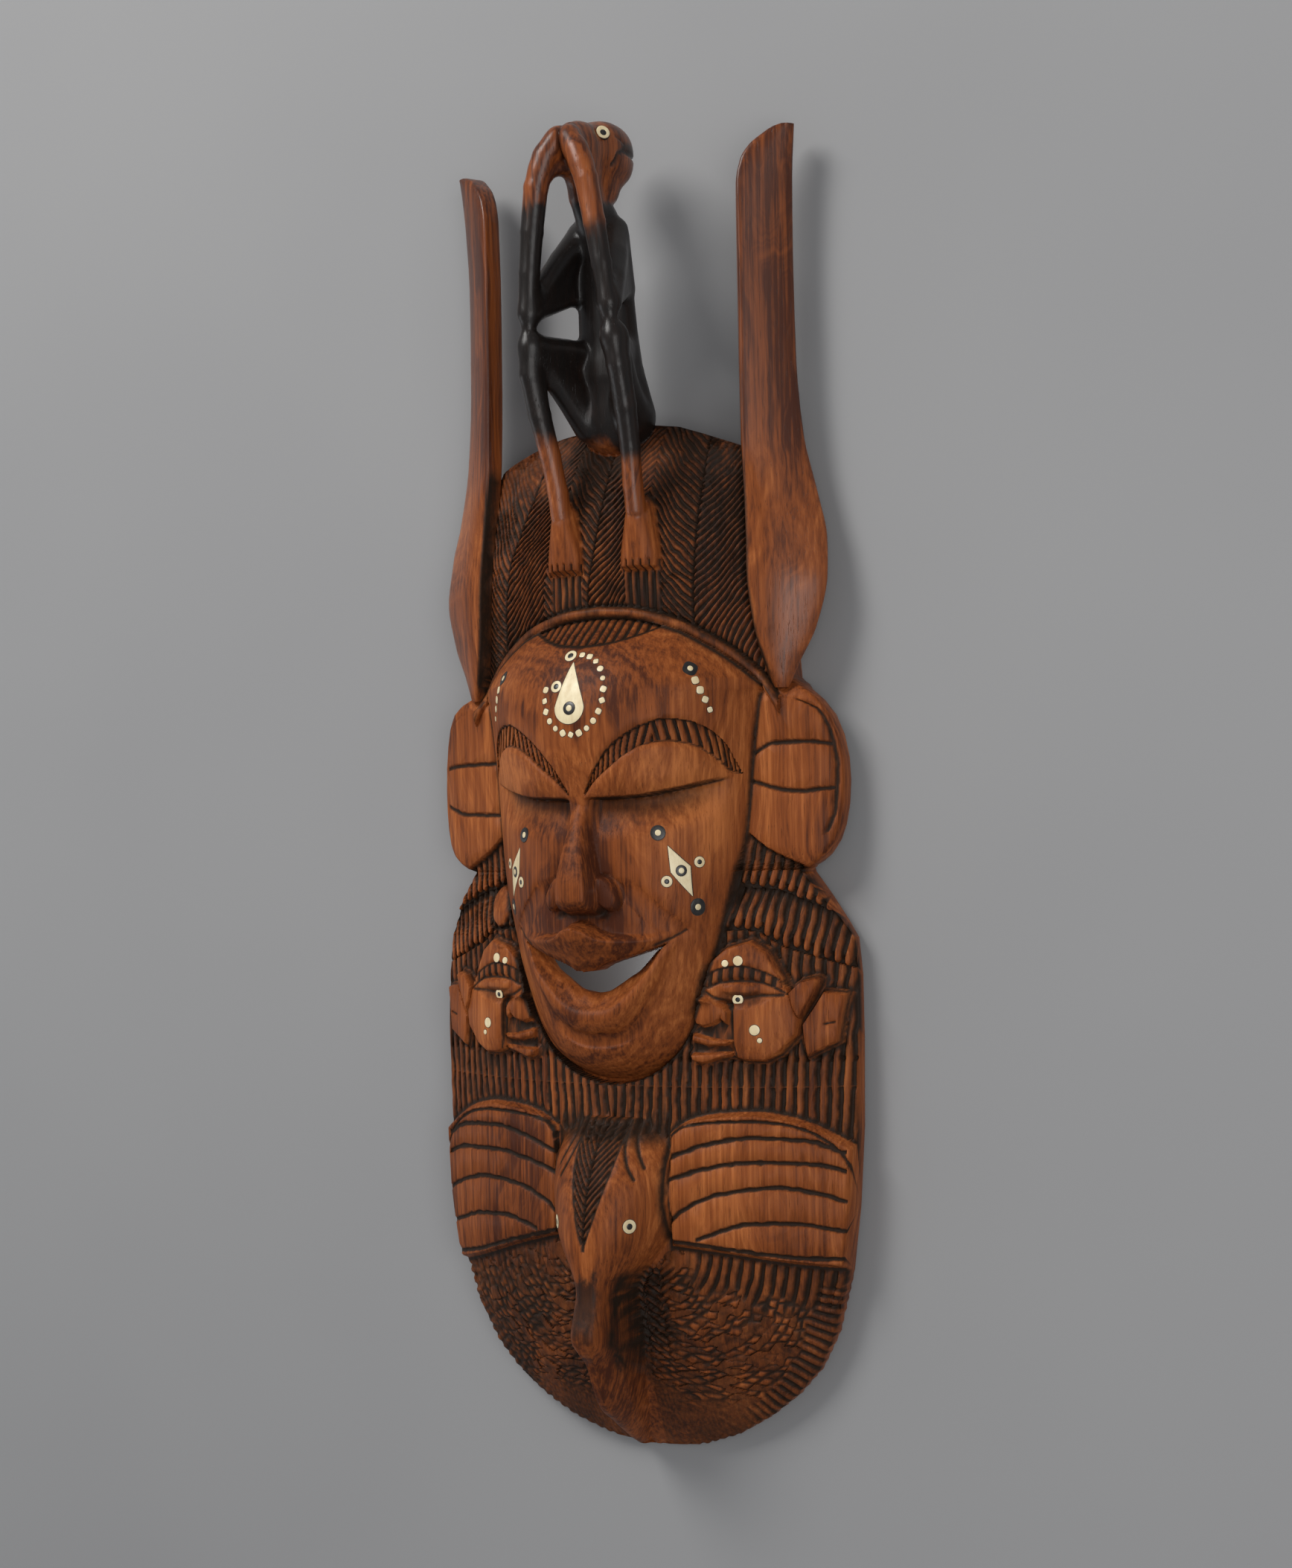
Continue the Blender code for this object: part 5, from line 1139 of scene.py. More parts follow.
def dark_patch(x, y, z):
    """Burnt patch above the figure's mouth."""
    return smooth((4.6 - line_distance(y, z, [(361.0, 47.5), (361.8, 38.0), (361.0, 26.0)])) / 2.6) * (np.abs(x) > 3)


def web_distance(a, b, c, r, X, Y, Z):
    """Distance to a rounded triangle."""
    a, b, c = (np.array(p, float) for p in (a, b, c))
    n = np.cross(b - a, a - c)
    best = None
    inside = 0.0
    for p, q in ((a, b), (b, c), (c, a)):
        e = q - p
        side = np.cross(e, n)
        inside = inside + np.sign(side[0] * (X - p[0]) + side[1] * (Y - p[1]) + side[2] * (Z - p[2]))
        t = np.clip(((X - p[0]) * e[0] + (Y - p[1]) * e[1] + (Z - p[2]) * e[2]) / (e @ e), 0, 1)
        d = (X - p[0] - t * e[0]) ** 2 + (Y - p[1] - t * e[1]) ** 2 + (Z - p[2] - t * e[2]) ** 2
        best = d if best is None else np.minimum(best, d)
    flat = (n[0] * (X - a[0]) + n[1] * (Y - a[1]) + n[2] * (Z - a[2])) ** 2 / (n @ n)
    return np.sqrt(np.where(inside < 1.5, best, flat)) - r


SHIN_EDGE = [(27.5, 247, 88.5, 3.4), (28.8, 233, 87.5, 3.2), (28.4, 212, 81.0, 2.8), (26.6, 190, 73.8, 2.6), (25.0, 172, 69.5, 2.6),
             (24.2, 156, 67.0, 2.8)]
ARM_EDGE = [(6.5, 358, 90.5, 2.8), (12.5, 350, 92.5, 3.2), (19.0, 334, 92.8, 3.0), (22.8, 310, 91.6, 2.8), (25.4, 288, 90.6, 2.6),
            (27.2, 266, 90.0, 2.8)]


def figure_field(X, Y, Z):
    shift = figure_shift(Y)
    Xs = X - shift
    A = np.abs(Xs)
    body = None
    for p, q in zip(TORSO[:-1], TORSO[1:]):
        d = limb(p, q, Xs, Y, Z, TORSO_DEPTH)
        body = d if body is None else np.minimum(body, d)
    for c, r, square in HEAD:
        d = ellipsoid(c, r, Xs, Y, Z, square)
        body = blend_min(body, d, 4.0)
    column = None
    for p, q in zip(FACE[:-1], FACE[1:]):
        d = limb(p, q, Xs, Y, Z)
        column = d if column is None else blend_min(column, d, 1.5)
    f = blend_min(body, column, 3.0)
    for chain in (ARM, UPPER_ARM, THIGH, THIGH_LOW, SHIN, SHIN_EDGE, ARM_EDGE):
        c = None
        for p, q in zip(chain[:-1], chain[1:]):
            d = limb(p, q, A, Y, Z)
            c = d if c is None else blend_min(c, d, 1.2)
        f = blend_min(f, c, 3.4)
    for a, b, c, r in SHEETS:
        f = blend_min(f, web_distance(a, b, c, r, A, Y, Z), 6.0)
    f = f + 1.3 * head_cuts(Xs, Y, Z) * (Y > 325)
    # the eye is set in a small flat
    (ex, ey, ez), n, er = FIGURE_EYE
    n = np.array(n) / np.linalg.norm(n)
    plane = n[0] * (A - ex) + n[1] * (Y - ey) + n[2] * (Z - ez)
    near = smooth((er + 2.6 - np.sqrt((A - ex) ** 2 + (Y - ey) ** 2 + (Z - ez) ** 2)) / 2.0)
    f = np.where(near > 0, np.maximum(f, (plane - 0.05) * near + f * (1 - near)), f)
    return f


def build_figure(h=0.7):
    xs = np.arange(-38.0, 42.0, h, dtype=np.float32)
    ys = np.arange(134.0, 381.0, h, dtype=np.float32)
    zs = np.arange(16.0, 106.0, h, dtype=np.float32)
    X, Y, Z = np.meshgrid(xs, ys, zs, indexing="ij", sparse=True)
    f = figure_field(X, Y, Z).astype(np.float32)
    f = np.clip(f, -3.0 * h, 3.0 * h)
    f[0], f[-1] = 3.0 * h, 3.0 * h
    f[:, 0], f[:, -1] = 3.0 * h, 3.0 * h
    f[:, :, 0], f[:, :, -1] = 3.0 * h, 3.0 * h
    grid = openvdb.FloatGrid(3.0 * h)
    grid.copyFromArray(f)
    points, quads = grid.convertToQuads(0.0)
    points = points * h + np.array([xs[0], ys[0], zs[0]])
    tri = np.vstack([quads[:, [0, 1, 2]], quads[:, [0, 2, 3]]])
    ob = mesh_object("figure", points, tri)
    bm = bmesh.new()
    bm.from_mesh(ob.data)
    bmesh.ops.recalc_face_normals(bm, faces=bm.faces[:])
    bm.to_mesh(ob.data)
    bm.free()
    return ob


def prism(points, low, high):
    n = len(points)
    v = [(x, y, low) for x, y in points] + [(x, y, high) for x, y in points]
    bm = bmesh.new()
    vs = [bm.verts.new(p) for p in v]
    bm.faces.new(vs[:n][::-1])
    bm.faces.new(vs[n:])
    for i in range(n):
        j = (i + 1) % n
        bm.faces.new((vs[i], vs[j], vs[n + j], vs[n + i]))
    bmesh.ops.triangulate(bm, faces=bm.faces[:])
    bmesh.ops.recalc_face_normals(bm, faces=bm.faces[:])
    me = bpy.data.meshes.new("prism")
    bm.to_mesh(me)
    bm.free()
    ob = bpy.data.objects.new("prism", me)
    bpy.context.scene.collection.objects.link(ob)
    return ob


def build_wood():
    wood = build_board(*GRID)
    wood.name = "carved_wood"
    for side in (-1, 1):
        boolean(wood, build_horn(side), "UNION")
    boolean(wood, build_figure(), "UNION")
    xs = np.linspace(-42.6, 42.6, 121)
    upper = [(x, float(along(abs(x), HOLE_UP))) for x in xs]
    lower = [(x, min(float(along(abs(x), HOLE_LOW)), float(along(abs(x), HOLE_UP)) - 1.0)) for x in xs[::-1]]
    boolean(wood, prism(upper + lower, -30.0, 140.0), "DIFFERENCE")
    boolean(wood, prism([(-300, -600), (300, -600), (300, 600), (-300, 600)], -60.0, 0.0), "DIFFERENCE")
    thin(wood, WOOD_TRIANGLES)
    return wood


def tone(wood):
    """Stain and painted shade, ebony, polish, and painted light and shade at each corner, from the same functions as
    the relief.
    """
    me = wood.data
    co = coords(me)
    x, y, z = co[:, 0], co[:, 1], co[:, 2]
    drop, stain_and_shade, rough = cuts(x, y)
    f = front(x, y) - drop
    out = polygon_distance(x, y, full_outline())
    bk = back(x, y, np.maximum(out, 0))
    steep = np.minimum(np.minimum(front(x + 1.5, y), front(x - 1.5, y)), f)
    on_front = smooth((z - steep + 4.0) / 2.5) * (out > -0.6)
    inside = (np.abs(x) < 46) & (y > 134)
    fig = np.full(len(x), 1e3)
    fig[inside] = figure_field(x[inside], y[inside], z[inside])
    is_fig = smooth((1.4 - fig) / 0.9)
    foot_zone = (y < 164) & (y > 120)
    horn = smooth((np.abs(x) - horn_inner(y) + 1.0) / 1.0) * (y > 57) * (z > along(np.clip(y, 56, 366), [(s[0], s[2]) for s in HORN_OUT]) - 14)
    # walls of cuts and steps keep stain too
    stain_and_shade = stain_and_shade * on_front * (1 - is_fig) * (1 - horn * smooth((np.abs(x) - horn_inner(y) - 1.0) / 1.5))
    low = smooth((f - 3.5 - z) / 3.0) * (z > 3.0) * (bk + 2.5 < z)
    step_wall = low * smooth((out - 2.0) / 2.0) * (1 - is_fig) * (1 - horn)
    stain_and_shade = np.maximum(stain_and_shade, 0.55 * step_wall)
    # hatched, shaded wall of the bill
    reach = np.abs(x - along(y, BIRD_BEND)) / along(y, BIRD_HALF)
    under = along(y, BIRD_CROWN) - z
    flank = smooth((under - 4.0) / 12.0) * smooth((1.6 - reach) / 0.5) * smooth((-262.0 - y) / 14.0) * smooth((y + 350.0) / 34.0) * smooth((z - 16.0) / 10.0)
    cut_in = rib((y + 0.75 * np.abs(x) + 0.55 * under + 0.7 * wobble(y, z, 7.0, 3.0)) / 4.9, 0.14, 0.28) * smooth((y + 332.0) / 10.0)
    stain_and_shade = np.maximum(stain_and_shade, flank * (0.50 + 0.46 * cut_in))
    hollow = smooth((f - 5.0 - z) / 3.0) * smooth((bk + 3.0 - z) / 2.0) * (out > 1)
    right_arm = smooth((x - 8.0) / 6.0) * smooth((z - 72.0) / 12.0)
    top_edge = 340.0 - 0.15 * z - 11.0 * right_arm + 1.2 * wobble(x, z, 6, 4)
    low_edge = 194.0 - 15.0 * smooth((x - 4.0) / 6.0) + 1.6 * wobble(x, z, 7, 9)
    ebony = is_fig * smooth((top_edge - y) / (2.6 + 9.0 * right_arm)) * smooth((y - low_edge) / 9.0)
    xs = x - figure_shift(y)
    mark = np.maximum(head_cuts(xs, y, z), 0.9 * dark_patch(xs, y, z)) * (y > 325) * is_fig
    ebony = np.maximum(ebony, mark)
    # painted light and shade mixed with the log's own tone: brighter cheeks, lids, small faces, ears and wings, painted
    # shade on the nose's right flank and beside and under the nose, and darker forehead, lips, chin, bill, left wing,
    # outer headdress and figure
    ax = np.abs(x)
    light = (0.9 * np.exp(-(((ax - 58) / 24) ** 2 + ((y + 8) / 34) ** 2)) - 0.95 * np.exp(-((x / 44) ** 2 + ((y - 60) / 28) ** 2))
             - 0.35 * np.exp(-((x / 40) ** 2 + ((y + 143) / 20) ** 2)) - 0.55 * np.exp(-(((ax - 26) / 15) ** 2 + ((y + 70) / 16) ** 2))
             + 0.60 * np.exp(-(((ax - 50) / 17) ** 2 + ((y + 105) / 24) ** 2)) - 0.45 * smooth((y - 175) / 50) * smooth((ax - 76) / 6)
             - 0.45 * np.exp(-((ax / 26) ** 2 + ((y + 89) / 8) ** 2)) - 0.30 * np.exp(-((ax / 26) ** 2 + ((y + 124) / 8) ** 2))
             - 0.60 * smooth((-x - 36) / 12) * smooth((-182 - y) / 10) * smooth((y + 286) / 10) + 0.55 * np.exp(-(((ax - 46) / 26) ** 2 + ((y - 12) / 11) ** 2))
             + 0.45 * np.exp(-(((ax - 88) / 18) ** 2 + ((y + 130) / 18) ** 2)) + 0.35 * np.exp(-(((ax - 108) / 22) ** 2 + ((y - 8) / 40) ** 2))
             + 0.35 * np.exp(-(((ax - 88) / 46) ** 2 + ((y + 225) / 36) ** 2)) - 0.5 * np.exp(-((x / 22) ** 2 + ((y + 330) / 50) ** 2))
             - 0.25 * smooth((y - 150) / 60) - 0.30 * smooth((y - 200) / 50) * smooth((46 - ax) / 6)
             - 0.70 * np.exp(-(((x - 13) / 8) ** 2 + ((y + 36) / 28) ** 2)) - 0.35 * np.exp(-((x / 18) ** 2 + ((y + 38) / 28) ** 2)) - 0.40 * np.exp(-((x / 20) ** 2 + ((y + 66) / 9) ** 2)))
    for name, values in (("stain_and_shade", stain_and_shade), ("ebony", ebony), ("rough", rough * on_front * (1 - is_fig)), ("hollow", hollow),
                         ("light", 0.5 + 0.5 * light)):
        a = me.attributes.new(name, "FLOAT", "POINT")
        a.data.foreach_set("value", np.clip(values, 0, 1).astype(np.float32))


def to_frame(me, snug=None):
    co = coords(me)
    co[:, 1] -= Y_MIDDLE
    co *= MM
    if snug is not None:
        co = np.clip(co, np.array(snug[0]) + 1e-5, np.array(snug[1]) - 1e-5)
    me.vertices.foreach_set("co", co.astype(np.float32).ravel())
    me.update()


# ---- inlays ------------------------------------------------------------------------
def surface(x, y):
    return float(front(np.array([x]), np.array([y]))[0])


def seat(x, y, reach=2.5):
    gx = (surface(x + reach, y) - surface(x - reach, y)) / (2 * reach)
    gy = (surface(x, y + reach) - surface(x, y - reach)) / (2 * reach)
    z = (surface(x + reach, y) + surface(x - reach, y) + surface(x, y + reach) + surface(x, y - reach)) / 4
    return Vector((x, y, z)), Vector((-gx, -gy, 1.0)).normalized()


def lathe(outline, bands, matrix):
    """Closed piece from rings of an outline: bands are (scale, inset, height, material)."""
    bm = bmesh.new()
    n = len(outline)
    rings = []
    for k, (scale, height, mat) in enumerate(bands):
        rings.append([bm.verts.new(matrix @ Vector((x * scale, y * scale, height))) for x, y in outline])
    bottom = bm.faces.new(rings[0][::-1])
    bottom.material_index = bands[0][2]
    for k in range(len(rings) - 1):
        for i in range(n):
            j = (i + 1) % n
            f = bm.faces.new((rings[k][i], rings[k][j], rings[k + 1][j], rings[k + 1][i]))
            f.material_index = bands[k + 1][2]
            f.smooth = True
    top = bm.faces.new(rings[-1])
    top.material_index = bands[-1][2]
    return bm


def super_outline(radius, power, turn, steps=32, stretch=1.0):
    pts = []
    for i in range(steps):
        a = 2 * math.pi * i / steps
        c, s = math.cos(a), math.sin(a)
        x = radius * math.copysign(abs(c) ** (2 / power), c)
        y = radius * stretch * math.copysign(abs(s) ** (2 / power), s)
        pts.append((x * math.cos(turn) - y * math.sin(turn), x * math.sin(turn) + y * math.cos(turn)))
    return pts


BONE, BLACK, LINE = 0, 1, 2


def inlay_object(name, bm, node, materials):
    me = bpy.data.meshes.new(name)
    bmesh.ops.recalc_face_normals(bm, faces=bm.faces[:])
    bm.to_mesh(me)
    bm.free()
    for m in materials:
        me.materials.append(m)
    to_frame(me)
    ob = bpy.data.objects.new(name, me)
    bpy.context.scene.collection.objects.link(ob)
    me.set_sharp_from_angle(angle=math.radians(50))
    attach(ob, "root")
    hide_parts(node)
    return ob


def round_inlay(node, x, y, radius, style, materials, power=2.0, turn=0.0, point=None, normal=None, lift=0.0,
                pupil=(0.0, 0.0, 0.44), stretch=1.0, proud=0.24):
    if point is None:
        point, normal = seat(x, y)
    rot = Vector((0, 0, 1)).rotation_difference(normal).to_matrix().to_4x4()
    matrix = Matrix.Translation(point) @ rot
    edge = 1.0 + 0.32 / radius
    a = BLACK if style == "black" else BONE
    bands = [(edge, -1.6 + lift, LINE), (edge, 0.02 + lift, LINE), (1.0, 0.05 + lift, LINE), (0.995, proud * 0.75 + lift, a),
             (0.93, proud + lift, a), (0.60, proud + 0.05 + lift, a), (0.2, proud + 0.07 + lift, a)]
    outline = super_outline(radius, power, turn, stretch=stretch)
    bm = lathe(outline, bands, matrix)
    if style in ("black", "ring"):
        b = BONE if style == "black" else BLACK
        px, py, pr = pupil
        shift = Matrix.Translation(Vector((px * radius, py * radius, 0)))
        dot = [(1.0, -0.5 + lift, b), (1.0, proud + 0.06 + lift, b), (0.93, proud + 0.13 + lift, b), (0.3, proud + 0.15 + lift, b)]
        extra = lathe(super_outline(radius * pr, 2.0, 0.0, 20), dot, matrix @ shift)
        me = bpy.data.meshes.new("t")
        extra.to_mesh(me)
        extra.free()
        bm.from_mesh(me)
        bpy.data.meshes.remove(me)
    return inlay_object("v_" + node, bm, node, materials)


def sheet_inlay(node, outline, materials, seam=None):
    """Shaped inlay that follows the surface, with a thin dark line round it."""
    n = len(outline)
    cx = sum(p[0] for p in outline) / n
    cy = sum(p[1] for p in outline) / n
    pts = np.array(outline)
    area = 0.0
    for i in range(n):
        area += outline[i][0] * outline[(i + 1) % n][1] - outline[(i + 1) % n][0] * outline[i][1]
    if area < 0:
        pts = pts[::-1]
    tangent = np.roll(pts, -1, 0) - np.roll(pts, 1, 0)
    tangent /= np.maximum(np.hypot(tangent[:, 0], tangent[:, 1])[:, None], 1e-9)
    normal = np.column_stack([tangent[:, 1], -tangent[:, 0]])
    centre = np.array([cx, cy])
    rows = [(pts + normal * 0.34, -1.8, LINE), (pts + normal * 0.34, 0.03, LINE), (pts, 0.06, LINE), (pts - normal * 0.02, 0.18, BONE),
            (pts - normal * 0.22, 0.24, BONE)]
    for k in (0.8, 0.6, 0.4, 0.2, 0.06):
        rows.append((centre + (pts - centre) * k, 0.25, BONE))
    bm = bmesh.new()
    rings = []
    for p, h, _ in rows:
        z = front(p[:, 0], p[:, 1])
        rings.append([bm.verts.new((p[i, 0], p[i, 1], z[i] + h)) for i in range(n)])
    bm.faces.new(rings[0][::-1]).material_index = LINE
    for k in range(len(rings) - 1):
        for i in range(n):
            j = (i + 1) % n
            f = bm.faces.new((rings[k][i], rings[k][j], rings[k + 1][j], rings[k + 1][i]))
            f.material_index = rows[k + 1][2]
            f.smooth = True
    bm.faces.new(rings[-1]).material_index = BONE
    return inlay_object("v_" + node, bm, node, materials)


def dense(points, per_side):
    out = []
    for i in range(len(points)):
        a, b = points[i], points[(i + 1) % len(points)]
        for k in range(per_side):
            t = k / per_side
            out.append((a[0] + (b[0] - a[0]) * t, a[1] + (b[1] - a[1]) * t))
    return out


def build_inlays(materials):
    k = 0
    for name, x, y, radius, tone_ in MIRRORED_INLAYS:
        for side, word in ((-1, "left"), (1, "right")):
            k += 1
            ring = name.startswith(("cheek_ring", "small_face_eye", "bird_eye"))
            style = "black" if tone_ == "black" else ("ring" if ring else "bone")
            power = 2.0 if (ring or tone_ == "black" or "cheek_dot" in name or "brow_dot" in name) else 3.2
            stretch = 1.0
            if name == "cheek_ring_lower":
                power, stretch = 2.2, 1.12
            if name == "temple_ring":
                power = 2.8
            pupil = (0.0, 0.0, 0.46 if style == "ring" else 0.42)
            round_inlay("%s_%s" % (name, word), side * x, y, radius, style, materials, power, 0.4 * math.sin(k * 2.1),
                        pupil=pupil, stretch=stretch)
    for name, x, y, radius in FOREHEAD_RINGS:
        round_inlay(name, x, y, radius, "ring", materials, 2.0, 0.0, pupil=(0, 0, 0.50))
    for i, (x, y) in enumerate(dot_places()):
        round_inlay("forehead_dot_%02d" % (i + 1), x, y, DOT_RADIUS * (0.94 + 0.10 * math.sin(i * 2.7)), "bone", materials,
                    3.0 + 1.2 * math.sin(i * 1.3), 0.5 * math.sin(i * 3.3))
    for side, word in ((-1, "left"), (1, "right")):
        (ex, ey, ez), (nx, ny, nz), eye_radius = FIGURE_EYE
        point = Vector((side * ex, ey, ez))
        normal = Vector((side * nx, ny, nz)).normalized()
        round_inlay("figure_eye_" + word, 0, 0, eye_radius + 0.1, "ring", materials, 2.0, 0.0, point=point, normal=normal,
                    pupil=(0.0, -0.12, 0.48), proud=0.5)
    sheet_inlay("teardrop", tear_outline(96), materials)
    round_inlay("teardrop_ring", TEAR_RING[0], TEAR_RING[1], TEAR_RING[2], "black", materials, lift=0.22, pupil=(0, 0, 0.5))
    for side, word in ((-1, "left"), (1, "right")):
        pts = [(side * x, y) for x, y in LOZENGE]
        sheet_inlay("lozenge_" + word, dense(pts, 14), materials)
        round_inlay("lozenge_%s_ring" % word, side * LOZENGE_RING[0], LOZENGE_RING[1], LOZENGE_RING[2], "black", materials,
                    lift=0.22, pupil=(0, 0, 0.55))


# ---- materials ---------------------------------------------------------------------
class Net:
    """Small helper to write node trees."""
    def __init__(self, name):
        self.mat = bpy.data.materials.new(name)
        self.mat.use_nodes = True
        self.tree = self.mat.node_tree
        self.bsdf = self.tree.nodes["Principled BSDF"]

    def node(self, kind, **values):
        n = self.tree.nodes.new(kind)
        for k, v in values.items():
            setattr(n, k, v)
        return n

    def feed(self, socket, value):
        if hasattr(value, "is_output"):
            self.tree.links.new(value, socket)
        elif isinstance(value, (tuple, list)) and len(value) == 3 and socket.type == "RGBA":
            socket.default_value = (*value, 1.0)
        else:
            socket.default_value = value

    def math(self, op, a, b=None, clamp=False):
        n = self.node("ShaderNodeMath", operation=op, use_clamp=clamp)
        self.feed(n.inputs[0], a)
        if b is not None:
            self.feed(n.inputs[1], b)
        return n.outputs[0]

    def mix(self, t, a, b, blend="MIX"):
        n = self.node("ShaderNodeMix", data_type="RGBA", blend_type=blend)
        self.feed(n.inputs["Factor"], t)
        self.feed(n.inputs[6], a)
        self.feed(n.inputs[7], b)
        return n.outputs[2]

    def ramp(self, t, low, high, a=0.0, b=1.0):
        n = self.node("ShaderNodeMapRange", clamp=True, interpolation_type="SMOOTHSTEP")
        self.feed(n.inputs["Value"], t)
        self.feed(n.inputs["From Min"], low)
        self.feed(n.inputs["From Max"], high)
        self.feed(n.inputs["To Min"], a)
        self.feed(n.inputs["To Max"], b)
        return n.outputs[0]

    def noise(self, vector, scale, detail=4.0, rough=0.55, distortion=0.0):
        n = self.node("ShaderNodeTexNoise")
        self.feed(n.inputs["Vector"], vector)
        n.inputs["Scale"].default_value = scale
        n.inputs["Detail"].default_value = detail
        n.inputs["Roughness"].default_value = rough
        n.inputs["Distortion"].default_value = distortion
        return n.outputs["Fac"]

    def scaled(self, vector, scale, move=(0, 0, 0)):
        n = self.node("ShaderNodeMapping")
        self.feed(n.inputs["Vector"], vector)
        n.inputs["Scale"].default_value = scale
        n.inputs["Location"].default_value = move
        return n.outputs[0]

    def attribute(self, name):
        n = self.node("ShaderNodeAttribute", attribute_type="GEOMETRY", attribute_name=name)
        return n.outputs["Fac"]


LIGHT_WOOD = (0.480, 0.152, 0.0400)
MID_WOOD = (0.236, 0.0610, 0.0140)
DARK_WOOD = (0.068, 0.0175, 0.0068)
STAIN_AND_SHADE_COLOUR = (0.0170, 0.0110, 0.0070)
EBONY = (0.0100, 0.0088, 0.0080)


def wood_material():
    n = Net("carved_wood")
    pos = n.node("ShaderNodeTexCoord").outputs["Object"]
    stain_and_shade = n.attribute("stain_and_shade")
    ebony = n.attribute("ebony")
    rough = n.attribute("rough")
    hollow = n.attribute("hollow")
    light = n.attribute("light")
    # growth rings round a pith behind the mask, drawn out along the log and bent by slow waves
    sway = n.noise(n.scaled(pos, (9.0, 3.0, 9.0)), 1.0, 3.0, 0.5)
    sway2 = n.noise(n.scaled(pos, (34.0, 11.0, 34.0), (3.1, 1.7, 0.4)), 1.0, 3.0, 0.5)
    sep = n.node("ShaderNodeSeparateXYZ")
    n.feed(sep.inputs[0], pos)
    x = n.math("ADD", sep.outputs[0], n.math("MULTIPLY", n.math("SUBTRACT", sway, 0.5), 0.085))
    z = n.math("ADD", sep.outputs[2], n.math("MULTIPLY", n.math("SUBTRACT", sway2, 0.5), 0.024))
    x = n.math("SUBTRACT", x, 0.018)
    z = n.math("ADD", z, 0.045)
    r = n.math("SQRT", n.math("ADD", n.math("MULTIPLY", x, x), n.math("MULTIPLY", z, z)))
    comb = n.node("ShaderNodeCombineXYZ")
    n.feed(comb.inputs[0], r)
    n.feed(comb.inputs[1], n.math("MULTIPLY", sep.outputs[1], 0.012))
    rings = n.noise(n.scaled(comb.outputs[0], (430.0, 430.0, 430.0)), 1.0, 4.0, 0.62)
    broad = n.noise(n.scaled(comb.outputs[0], (95.0, 95.0, 95.0), (9.0, 2.0, 0.0)), 1.0, 2.0, 0.5)
    fibre = n.noise(n.scaled(pos, (1150.0, 26.0, 1150.0)), 1.0, 3.0, 0.6)
    streak = n.noise(n.scaled(pos, (430.0, 6.5, 430.0), (2.0, 0.3, 1.0)), 1.0, 3.0, 0.55)
    pores = n.noise(n.scaled(pos, (1700.0, 80.0, 1700.0), (5.0, 1.0, 2.0)), 1.0, 2.0, 0.5)
    cloud = n.noise(n.scaled(pos, (16.0, 8.0, 16.0), (1.0, 4.0, 2.0)), 1.0, 3.0, 0.5)
    figure = n.math("ADD", n.math("MULTIPLY", n.ramp(rings, 0.34, 0.68), 0.30), n.math("MULTIPLY", n.ramp(broad, 0.3, 0.72), 0.24))
    figure = n.math("ADD", figure, n.math("MULTIPLY", n.ramp(streak, 0.34, 0.68), 0.32))
    figure = n.math("ADD", figure, n.math("MULTIPLY", n.math("SUBTRACT", fibre, 0.5), 0.50))
    figure = n.math("ADD", figure, n.math("MULTIPLY", n.math("SUBTRACT", cloud, 0.5), 0.60))
    # the "light" attribute adds painted light and shade together with the log's own tone
    figure = n.math("ADD", figure, n.math("MULTIPLY", n.math("SUBTRACT", light, 0.5), 0.85))
    warm = n.mix(n.ramp(figure, -0.10, 0.48), DARK_WOOD, MID_WOOD)
    colour = n.mix(n.ramp(figure, 0.36, 1.12), warm, LIGHT_WOOD)
    pore = n.ramp(pores, 0.64, 0.72)
    colour = n.mix(n.math("MULTIPLY", pore, 0.45), colour, (0.030, 0.0095, 0.0050))
    # the oil has darkened the hollow unevenly
    colour = n.mix(n.math("MULTIPLY", hollow, n.ramp(cloud, 0.2, 0.9, 0.35, 0.75)), colour, (0.100, 0.036, 0.015))
    # stain left in the cuts, thin where it was rubbed off, and painted shade under the lids and nose, at the tops of
    # the hair tiers, at the neck, on the bill's flank, in the small faces and behind the figure's seat
    patch = n.noise(n.scaled(pos, (420.0, 300.0, 420.0), (1.0, 2.0, 7.0)), 1.0, 3.0, 0.6)
    cut = n.math("ADD", stain_and_shade, n.math("MULTIPLY", n.math("SUBTRACT", patch, 0.5), 0.36))
    cut = n.math("MULTIPLY", cut, n.ramp(stain_and_shade, 0.02, 0.16))
    colour = n.mix(n.math("MULTIPLY", n.ramp(cut, 0.06, 0.92), 0.97), colour, STAIN_AND_SHADE_COLOUR)
    # burnt patch on the flat front of the bill
    scorch = n.noise(n.scaled(pos, (210.0, 120.0, 210.0), (6.0, 3.0, 1.0)), 1.0, 3.0, 0.6)
    across = n.math("ADD", n.math("ABSOLUTE", sep.outputs[0]), n.math("MULTIPLY", n.math("SUBTRACT", scorch, 0.5), 0.008))
    along_y = n.math("ADD", sep.outputs[1], n.math("MULTIPLY", n.math("SUBTRACT", scorch, 0.5), 0.030))
    burn = n.math("MULTIPLY", n.ramp(across, 0.0045, 0.0105, 1.0, 0.0), n.ramp(along_y, -0.312, -0.290))
    burn = n.math("MULTIPLY", burn, n.ramp(along_y, -0.274, -0.262, 1.0, 0.0))
    burn = n.math("MULTIPLY", burn, n.ramp(sep.outputs[2], 0.084, 0.090))
    colour = n.mix(n.math("MULTIPLY", burn, 0.86), colour, (0.016, 0.0105, 0.0080))
    # ebonised figure, with brown showing through where it is worn
    thinness = n.noise(n.scaled(pos, (60.0, 26.0, 60.0), (4.0, 4.0, 4.0)), 1.0, 4.0, 0.6)
    dark = n.mix(n.math("MULTIPLY", n.ramp(thinness, 0.56, 0.78), 0.40), EBONY, (0.040, 0.016, 0.009))
    colour = n.mix(n.math("MULTIPLY", ebony, 0.98), colour, dark)
    n.feed(n.bsdf.inputs["Base Color"], colour)
